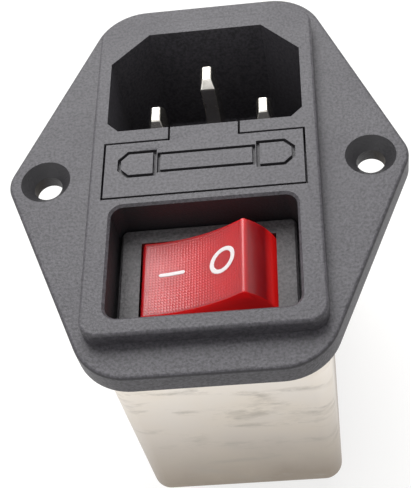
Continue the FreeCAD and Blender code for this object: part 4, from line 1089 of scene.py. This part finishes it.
@dataclass
class Studio:
    """A white sweep, a soft box behind the object and an even white room."""

    floor_drop: float = 0.3
    floor_half: float = 1500.0
    floor_thick: float = 2.0
    lamps: tuple[Lamp, ...] = (Lamp("soft_box", (-100.0, 470.0, 590.0), 560.0, 5.4),
                               Lamp("fill_box", (-420.0, -380.0, 520.0), 700.0, 0.8))
    room: float = 0.42

    def floor(self) -> None:
        """Lay the sweep under the object's lowest point."""
        level = cad_box[0].z / MM - self.floor_drop
        half = self.floor_half
        item = solid_object("sweep", prism(
            [(-half, -half), (half, -half), (half, half), (-half, half)],
            level - self.floor_thick, level))
        item.data.materials.append(finish_of(Sweep()))

    def walls(self) -> None:
        """Make the room: white to the eye and to gloss, dimmer as light."""
        world = bpy.data.worlds.new("white_room")
        world.use_nodes = True
        tree = world.node_tree
        tree.nodes.clear()
        strength = ramp(tree, seen_directly(tree), RISING, (self.room, 1.0))
        paper = add_node(tree, "ShaderNodeBackground", {}, {
            "Color": WHITE, "Strength": strength})
        add_node(tree, "ShaderNodeOutputWorld", {}, {"Surface": paper.outputs["Background"]})
        bpy.context.scene.world = world

    def build(self) -> None:
        """Set the floor, the lamps and the room."""
        self.floor()
        for lamp in self.lamps:
            lamp.build()
        self.walls()
        bpy.context.scene.view_settings.view_transform = "Standard"


@dataclass
class FrontHousing(Assembly):
    """The one-piece moulded front and its pins. Lengths are in mm."""

    stands: tuple[Stand, ...] = tuple(
        Stand(name + "_contact_pin", name + "_pin", Slot.PIN, 0.24)
        for name in ("line", "neutral", "earth"))
    moulding: Stand = Stand("front_moulding", "front_housing", Slot.FRONT, 0.12)
    well_half: float = 12.4
    well_reach: float = 8.2
    sink_x: float = 20.0
    sink_reach: float = 3.6
    upright: float = 0.8
    # How much painted shade the outer walls and the flange's rim get
    painted_wall_shade: float = 0.18
    painted_rim_shade: float = 0.75
    rim_level: float = 3.1

    def __post_init__(self) -> None:
        """Find the level of the plinth's face, less its edge break."""
        self.face_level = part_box(self.moulding.node)[1].z / MM - self.moulding.edge * 2

    def painted_shade_at(self, middle: Vector, normal: Vector) -> float:
        """Tell how much painted shade darkens a face and takes its grain's speckle away.

        Args:
            middle: The face's middle, in mm.
            normal: Its normal.

        Returns:
            1 in the rocker's well and the countersinks, less on outer walls and the rim, else 0.
        """
        if normal.z > self.upright or middle.z > self.face_level:
            return 0.0
        in_well = (abs(middle.x) < self.well_half
                   and abs(middle.y - ROCKER_PIVOT[1]) < self.well_reach)
        in_sink = math.hypot(abs(middle.x) - self.sink_x, middle.y) < self.sink_reach
        if in_well or in_sink:
            return 1.0
        if normal.z < 1 - self.upright:
            return self.painted_wall_shade
        return self.painted_rim_shade if middle.z < self.rim_level else 0.0

    def build(self) -> None:
        """Dress the moulding and the three pins."""
        # Painted shade in the moulding's well and countersinks, on its walls and its rim
        mark_painted_shade(self.dress(self.moulding), self.painted_shade_at)
        super().build()


@dataclass
class MetalCan(Assembly):
    """The drawn steel can behind the flange."""

    stands: tuple[Stand, ...] = (Stand("drawn_can", "metal_can", Slot.CAN, 0.06),)


@dataclass
class FuseSign:
    """Outlines of the sunk fuse sign: two caps with cut corners and a tube between.

    An area is its lowest and highest x, then its lowest and highest y, in mm. The
    gap between two areas keeps their cutters apart.
    """

    left: Area = (-10.5, -5.75, -2.18, 1.85)
    right: Area = (6.38, 11.05, -2.18, 1.85)
    tube: Area = (-5.65, 6.28, -1.75, 1.35)
    corner: float = 1.2
    corner_share: float = 0.59
    groove: float = 0.42
    tube_groove: float = 0.378
    depth: float = 0.5
    clear: float = 1.0

    def outline(self, area: Area, outer: int, inset: float) -> list[Point]:
        """Give the outline of a cap, or of the tube.

        Args:
            area: The area that it fills.
            outer: The side whose corners are cut, -1 or 1, or 0 for none.
            inset: How far inside its edge the outline runs.

        Returns:
            Points, counter-clockwise.
        """
        low_x, high_x = area[0] + inset, area[1] - inset
        low_y, high_y = area[2] + inset, area[3] - inset
        cut = self.corner - inset * self.corner_share
        if outer < 0:
            return [(low_x + cut, low_y), (high_x, low_y), (high_x, high_y),
                    (low_x + cut, high_y), (low_x, high_y - cut), (low_x, low_y + cut)]
        if outer > 0:
            return [(low_x, low_y), (high_x - cut, low_y), (high_x, low_y + cut),
                    (high_x, high_y - cut), (high_x - cut, high_y), (low_x, high_y)]
        return [(low_x, low_y), (high_x, low_y), (high_x, high_y), (low_x, high_y)]

    def grooves(self, face: float) -> bpy.types.Object:
        """Make the three ring-shaped cutters as one mesh.

        Args:
            face: Level of the drawer's face, in mm.

        Returns:
            The cutter.
        """
        whole = bmesh.new()
        for area, outer, groove in ((self.left, -1, self.groove), (self.right, 1, self.groove),
                                    (self.tube, 0, self.tube_groove)):
            ring = prism(self.outline(area, outer, 0.0), face - self.depth, face + self.clear,
                         hole=self.outline(area, outer, groove))
            part = bpy.data.meshes.new("sign_ring")
            ring.to_mesh(part)
            ring.free()
            whole.from_mesh(part)
        return solid_object("sign_cutter", whole)


@dataclass
class FuseDrawer(Assembly):
    """The drawer with its sunk sign, and the two fuses that ride in it."""

    stands: tuple[Stand, ...] = tuple(stand for prefix in ("active", "spare") for stand in (
        Stand(prefix + "_glass_tube", prefix + "_fuse_tube", Slot.FUSE_GLASS, body="drawer"),
        Stand(prefix + "_end_caps", prefix + "_fuse_caps", Slot.PIN, 0.05, "drawer"),
        Stand("", prefix + "_fuse_wire", Slot.FUSE_WIRE, body="drawer")))
    sign: FuseSign = field(default_factory=FuseSign)
    edge: float = 0.07
    seam: float = 0.11
    plate: float = 2.0
    pull_half: float = 4.2
    shelf: float = 3.2

    def trim(self, item: bpy.types.Object, low: Vector, high: Vector) -> None:
        """Draw the front plate's edges in, so that its seam shows as it does.

        Args:
            item: The drawer's copy.
            low: The drawer's lowest corner.
            high: The drawer's highest corner.
        """
        seam = self.seam * MM
        plate_back = high.z - self.plate * MM
        for vertex in item.data.vertices:
            place = vertex.co
            if place.z < plate_back - MERGE_GAP:
                continue
            if abs(place.x) > self.pull_half * MM:
                place.x -= math.copysign(seam, place.x)
            if place.y < low.y + seam or self.shelf * MM < place.y < high.y - seam:
                place.y += seam if place.y < 0 else -seam

    def build(self) -> None:
        """Cut the sign into the drawer's face and dress the fuses."""
        item = self.copied("drawer_moulding", "fuse_drawer")
        low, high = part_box("fuse_drawer")
        face = high.z / MM
        self.trim(item, low, high)
        combined(item, self.sign.grooves(face), "DIFFERENCE")
        reshaded(item)
        modified(item, "BEVEL", {"width": self.edge * MM, **EDGE_BREAK})
        # Painted shade on all that lies below the drawer's face, the sign's grooves among it
        mark_painted_shade(item, lambda middle, normal: middle.z < face - self.edge * 2)
        self.settle(item, Slot.DRAWER, "drawer", "fuse_drawer")
        super().build()


@dataclass
class FuseClips(Assembly):
    """The two spring clips behind the drawer."""

    stands: tuple[Stand, ...] = (
        Stand("line_spring_clip", "line_fuse_clip", Slot.BRONZE, 0.04),
        Stand("load_spring_clip", "load_fuse_clip", Slot.BRONZE, 0.04))


@dataclass
class RockerShape:
    """The rocker's own sizes in mm, drawn about its pivot before it is tipped."""

    ridge_x: float = 6.42
    radius: float = 8.4
    dish_radius: float = 21.0
    half_wide: float = 5.1
    wall: float = 1.0
    skin: float = 1.2
    roof_drop: float = 1.45
    skirt: float = 0.6
    keel: float = 2.2
    keel_half: float = 3.2
    post_round: float = 4.0
    post_drop: float = 4.0
    bore_round: float = 2.32
    bore_top: float = 2.4
    bore_clear: float = 1.0
    pivot_round: float = 2.5
    pivot_out: float = 1.0
    ridge_soft: float = 0.3
    edge_soft: float = 0.16
    outer_steps: tuple[int, int] = (36, 18)
    inner_steps: tuple[int, int] = (24, 12)

    def __post_init__(self) -> None:
        """Work out the ridge's level and the dish's centre."""
        self.ridge_z = math.sqrt(self.radius ** 2 - self.ridge_x ** 2)
        self.dish_z = self.ridge_z + math.sqrt(self.dish_radius ** 2 - self.ridge_x ** 2)

    def dish(self, x: float) -> float:
        """Give the level of the dished face at x."""
        return self.dish_z - math.sqrt(self.dish_radius ** 2 - x * x)

    def section(self, half: float, dish_radius: float, radius: float, ridge: float,
                feet: Sequence[Point], steps: Sequence[int]) -> list[Point]:
        """Give an outline across the rocker: dish, left end, feet and right end.

        Args:
            half: How far the dish reaches on each side.
            dish_radius: Its radius.
            radius: The radius of the ends, about the pivot.
            ridge: The turn at which the ends meet the dish, in radians.
            feet: The points below, from left to right.
            steps: How many chords the dish and each end have.

        Returns:
            The points, counter-clockwise.
        """
        lean = math.asin(half / dish_radius)
        foot = -math.asin(self.skirt / radius)
        points = arc((0.0, self.dish_z), dish_radius, -math.pi / 2 + lean,
                     -math.pi / 2 - lean, steps[0])
        points += arc((0.0, 0.0), radius, math.pi - ridge, math.pi - foot, steps[1])[1:]
        points += feet
        return points + arc((0.0, 0.0), radius, foot, ridge, steps[1])[:-1]

    def outside(self) -> list[Point]:
        """Give the outer outline, counter-clockwise."""
        feet = [(-self.keel_half, -self.keel), (self.keel_half, -self.keel)]
        return self.section(self.ridge_x, self.dish_radius, self.radius,
                            math.atan2(self.ridge_z, self.ridge_x), feet, self.outer_steps)

    def inside(self) -> list[Point]:
        """Give the hollow's outline, counter-clockwise."""
        radius = self.radius - self.wall
        roof = self.ridge_z - self.roof_drop
        half = math.sqrt(radius ** 2 - roof ** 2)
        mouth = radius * math.cos(math.asin(self.skirt / radius))
        bottom = -(self.keel + self.wall)
        return self.section(half, self.dish_radius + self.skin, radius,
                            math.atan2(roof, half), [(-mouth, bottom), (mouth, bottom)],
                            self.inner_steps)


@dataclass
class LensCells:
    """Rows of low four-sided cells that break up the gloss of the dished face.

    Lengths are in mm. The real pitch can't be read from the photograph. This one
    gives a cell about three pixels there, so it shows as a fine even glitter.
    """

    shape: RockerShape
    pitch: float = 0.35
    rise: float = 0.023
    length: float = 11.9
    width: float = 9.3

    def build(self) -> bpy.types.Object:
        """Lay the cells on the dish, about the rocker's pivot.

        Returns:
            The cells as plain mesh.
        """
        tree = bpy.data.node_groups.new("lens_cells", "GeometryNodeTree")
        wanted = {"Length": self.length * MM, "Width": self.width * MM,
                  "Pitch": self.pitch * MM, "Rise": self.rise * MM,
                  "Dish Radius": self.shape.dish_radius * MM,
                  "Dish Centre": self.shape.dish_z * MM}
        tree.interface.new_socket("Geometry", in_out="OUTPUT", socket_type="NodeSocketGeometry")
        for name in wanted:
            tree.interface.new_socket(name, in_out="INPUT", socket_type="NodeSocketFloat")
        given = add_node(tree, "NodeGroupInput").outputs
        grid = add_node(tree, "GeometryNodeMeshGrid", {}, {
            "Size X": given["Length"], "Size Y": given["Width"],
            "Vertices X": arithmetic(tree, "DIVIDE", given["Length"], given["Pitch"]),
            "Vertices Y": arithmetic(tree, "DIVIDE", given["Width"], given["Pitch"])})
        at = split_place(tree, add_node(tree, "GeometryNodeInputPosition").outputs[0])
        lean = arithmetic(tree, "ARCSINE",
                          arithmetic(tree, "DIVIDE", at["X"], given["Dish Radius"]))
        drop = arithmetic(tree, "MULTIPLY", arithmetic(tree, "COSINE", lean),
                          given["Dish Radius"])
        place = add_node(tree, "ShaderNodeCombineXYZ", {}, {
            0: at["X"], 1: at["Y"], 2: arithmetic(tree, "SUBTRACT", given["Dish Centre"], drop)})
        laid = add_node(tree, "GeometryNodeSetPosition", {}, {
            "Geometry": grid.outputs["Mesh"], "Position": place.outputs[0]})
        cell = add_node(tree, "GeometryNodeMeshCone", {"fill_type": "NONE"}, {
            "Vertices": 4, "Radius Top": 0.0, "Depth": given["Rise"],
            "Radius Bottom": arithmetic(tree, "MULTIPLY", given["Pitch"], math.sqrt(0.5))})
        squared = add_node(tree, "GeometryNodeTransform", {}, {
            "Geometry": cell.outputs["Mesh"], "Rotation": (0.0, 0.0, math.pi / 4)})
        turn = add_node(tree, "ShaderNodeCombineXYZ", {}, {
            1: arithmetic(tree, "MULTIPLY", lean, -1.0)})
        spread = add_node(tree, "GeometryNodeInstanceOnPoints", {}, {
            "Points": laid.outputs["Geometry"], "Instance": squared.outputs["Geometry"],
            "Rotation": turn.outputs[0]})
        real = add_node(tree, "GeometryNodeRealizeInstances", {}, {
            0: spread.outputs["Instances"]})
        dressed = add_node(tree, "GeometryNodeSetMaterial", {}, {
            "Geometry": real.outputs[0], "Material": finish_of(FINISHES[Slot.ROCKER])})
        add_node(tree, "NodeGroupOutput", {}, {0: dressed.outputs["Geometry"]})
        item = solid_object("lens_cells", bmesh.new())
        modified(item, "NODES", {"node_group": tree},
                 {socket.identifier: wanted[socket.name]
                  for socket in tree.interface.items_tree if socket.in_out == "INPUT"})
        return item


class Mark(Enum):
    """The two generic marks on a rocker."""

    ON = "on_mark"
    OFF = "off_mark"


@dataclass
class InkedMarks:
    """The bar and the ring, as bands of ink on the dished face. Lengths are in mm."""

    shape: RockerShape
    levels: tuple[float, ...] = (-0.05, 0.005, 0.05, 0.05, 0.005, -0.05)
    bar_place: Point = (-3.0, 0.33)
    bar_size: Point = (3.2, 0.5)
    bar_shares: tuple[float, ...] = (-1.0, -0.8, 0.8, 1.0)
    bar_steps: int = 28
    bar_blunt: float = 0.08
    ring_place: Point = (3.5, 0.4)
    ring_size: Point = (3.35, 3.5)
    ring_lean: float = 0.16
    ring_stroke: float = 0.58
    ring_slope: float = 0.06
    ring_steps: int = 72

    def draped(self, mark: Mark, rows: Sequence[Sequence[Point]], closed: bool
               ) -> bpy.types.Object:
        """Lay a band of ink on the dish, rounded over its thickness.

        Args:
            mark: The mark.
            rows: Four rows of points across the band, from one edge to the other.
            closed: Whether the band's ends meet.

        Returns:
            The band.
        """
        solid = bmesh.new()
        laid = [[solid.verts.new(Vector((x, y, self.shape.dish(x) + level)) * MM)
                 for x, y in row]
                for row, level in zip((rows[0], *rows, rows[-1]), self.levels)]
        strips(solid, [*laid, laid[0]], closed)
        if not closed:
            solid.faces.new([row[0] for row in laid])
            solid.faces.new([row[-1] for row in reversed(laid)])
        bmesh.ops.recalc_face_normals(solid, faces=solid.faces)
        hard_edges(solid)
        return solid_object(mark.value, solid)

    def ring(self) -> bpy.types.Object:
        """Print the leaning ring.

        Returns:
            The ring.
        """
        middle_x, middle_y = self.ring_place
        turns = [2 * math.pi * index / self.ring_steps for index in range(self.ring_steps)]
        rows = []
        for out in (0.0, self.ring_slope, self.ring_stroke - self.ring_slope, self.ring_stroke):
            half_x, half_y = self.ring_size[0] / 2 - out, self.ring_size[1] / 2 - out
            lean = self.ring_lean * self.ring_size[1] / 2
            rows.append([(middle_x + half_x * math.cos(turn) + lean * math.sin(turn),
                          middle_y + half_y * math.sin(turn)) for turn in turns])
        return self.draped(Mark.OFF, rows, True)

    def bar(self) -> bpy.types.Object:
        """Print the bar with its round ends.

        Returns:
            The bar.
        """
        length, wide = self.bar_size
        rows = []
        for share in self.bar_shares:
            row = []
            for index in range(self.bar_steps + 1):
                along = -1 + 2 * index / self.bar_steps
                into_end = min(1.0, max(0.0, 1 - (1 - abs(along)) * length / wide))
                reach = max(math.sqrt(1 - into_end ** 2), self.bar_blunt)
                row.append((self.bar_place[0] + along * length / 2,
                            self.bar_place[1] + share * wide / 2 * reach))
            rows.append(row)
        return self.draped(Mark.ON, rows, False)


@dataclass
class RockerSwitch(Assembly):
    """The switch: its frame, works, lamp and the red rocker with its marks."""

    stands: tuple[Stand, ...] = (
        Stand("bezel_and_case", "switch_frame", Slot.BEZEL, 0.07),
        Stand("case_base", "switch_base", Slot.BASE, 0.07),
        Stand("common_switch_blade", "common_blade", Slot.TINNED, 0.05),
        Stand("load_switch_blade", "load_blade", Slot.TINNED, 0.05),
        Stand("lamp_switch_blade", "lamp_blade", Slot.TINNED, 0.05),
        Stand("plunger_pin", "plunger", Slot.BASE, 0.04, "rocker"),
        Stand("", "plunger_spring", Slot.SPRING, body="rocker"),
        Stand("rocking_contact_arm", "contact_lever", Slot.BRONZE, 0.04, "lever"),
        Stand("moving_contact_button", "moving_contact", Slot.SILVER, 0.04, "lever"),
        Stand("fixed_contact_button", "fixed_contact", Slot.SILVER, 0.04),
        Stand("lamp_envelope", "neon_bulb", Slot.LAMP_GLASS),
        Stand("", "lamp_lead", Slot.WIRE),
        Stand("lamp_ballast", "lamp_resistor", Slot.RESISTOR))
    shape: RockerShape = field(default_factory=RockerShape)
    round_steps: int = 40
    crease: float = math.radians(20)
    touch: float = 0.01

    def round_bar(self, across: float, low: float, high: float, along: str) -> bpy.types.Object:
        """Make a round bar through the pivot.

        Args:
            across: Its diameter, in mm.
            low: Where it starts.
            high: Where it ends.
            along: Y for a pivot or Z for the post.

        Returns:
            The bar.
        """
        outline = arc((0.0, 0.0), across / 2, 0.0, 2 * math.pi, self.round_steps)[:-1]
        return solid_object("bar", prism(outline, low, high, along))

    def key(self) -> bpy.types.Object:
        """Build the hollow rocker with soft edges, its post and its pivots.

        Returns:
            The rocker, about its pivot.
        """
        shape = self.shape
        half = shape.half_wide
        solid = prism(shape.outside(), -half, half, "Y")
        weights = solid.edges.layers.float.new("bevel_weight_edge")
        for edge in solid.edges:
            if edge.calc_face_angle(0.0) > self.crease:
                ends = [vertex.co / MM for vertex in edge.verts]
                ridge = all(abs(abs(end.x) - shape.ridge_x) < self.touch and end.z > 0
                            for end in ends)
                edge[weights] = 1.0 if ridge else shape.edge_soft / shape.ridge_soft
        item = solid_object("rocker_key", solid)
        modified(item, "BEVEL", {"width": shape.ridge_soft * MM, **WEIGHTED_BREAK})
        wall, out = half - shape.wall, half + shape.pivot_out
        hollow = solid_object("hollow", prism(shape.inside(), -wall, wall, "Y"))
        combined(item, hollow, "DIFFERENCE")
        for across, low, high, along, operation in (
                (shape.post_round, -shape.post_drop, shape.bore_top + shape.skin, "Z", "UNION"),
                (shape.bore_round, -shape.post_drop - shape.bore_clear, shape.bore_top, "Z",
                 "DIFFERENCE"),
                (shape.pivot_round, -out, -wall, "Y", "UNION"),
                (shape.pivot_round, wall, out, "Y", "UNION")):
            combined(item, self.round_bar(across, low, high, along), operation)
        reshaded(item)
        return item

    def build(self) -> None:
        """Build the rocker with its cells and marks, tip it and dress the rest."""
        rest = (Matrix.Translation(Vector(ROCKER_PIVOT) * MM)
                @ Matrix.Rotation(ROCKER_TILT, 4, "Y"))
        marks = InkedMarks(self.shape)
        for item, node, look in ((self.key(), "rocker", None),
                                 (LensCells(self.shape).build(), "", None),
                                 (marks.ring(), "", INK), (marks.bar(), "", INK)):
            item.data.transform(rest)
            self.settle(item, Slot.ROCKER, "rocker", node, look)
        super().build()


@dataclass
class RearTerminals(Assembly):
    """The insulator, the two mains tabs and the riveted earth tab."""

    stands: tuple[Stand, ...] = (
        Stand("terminal_block", "terminal_insulator", Slot.INSULATOR, 0.1),
        Stand("line_tab_blade", "line_tab", Slot.TINNED, 0.08),
        Stand("neutral_tab_blade", "neutral_tab", Slot.TINNED, 0.08),
        Stand("earth_tab_blade", "earth_tab", Slot.TINNED, 0.08),
        Stand("rivet_body", "earth_rivet", Slot.PIN, 0.12),
        Stand("earth_strap_link", "earth_strap", Slot.TINNED, 0.05))


@dataclass
class MainsFilter(Assembly):
    """The board in the can with its choke, capacitors and bleeder."""

    stands: tuple[Stand, ...] = (
        Stand("laminate_board", "filter_board", Slot.BOARD, 0.08),
        Stand("ferrite_ring", "choke_core", Slot.FERRITE, 0.3),
        Stand("copper_turns_line", "choke_winding_line", Slot.COPPER),
        Stand("ceramic_disc_line", "y_capacitor_line", Slot.Y_CAP, 0.3),
        Stand("copper_turns_neutral", "choke_winding_neutral", Slot.COPPER),
        Stand("ceramic_disc_neutral", "y_capacitor_neutral", Slot.Y_CAP, 0.3),
        Stand("film_capacitor_case", "x_capacitor", Slot.X_CAP, 0.1),
        Stand("bleeder_element", "bleeder_resistor", Slot.BLEEDER))


@dataclass
class Leads(Assembly):
    """The insulated wires between the pins, the clips, the switch and the board."""

    stands: tuple[Stand, ...] = tuple(
        Stand(name + "_sleeve", name, slot) for slot, names in (
            (Slot.BROWN, ("line_lead", "fused_lead", "switched_lead")),
            (Slot.BLUE, ("neutral_lead", "lamp_return_lead"))) for name in names)


def main() -> None:
    """Build the part, its light and its viewpoint."""
    logging.basicConfig(level=logging.INFO, format="%(name)s: %(message)s")
    Viewpoint().build()
    for maker in (FrontHousing, MetalCan, FuseDrawer, FuseClips, RockerSwitch,
                  RearTerminals, MainsFilter, Leads):
        made = maker()
        made.build()
        log.info("%s: %s", maker.__name__, ", ".join(made.report))
    Studio().build()


if __name__ == "__main__":
    main()
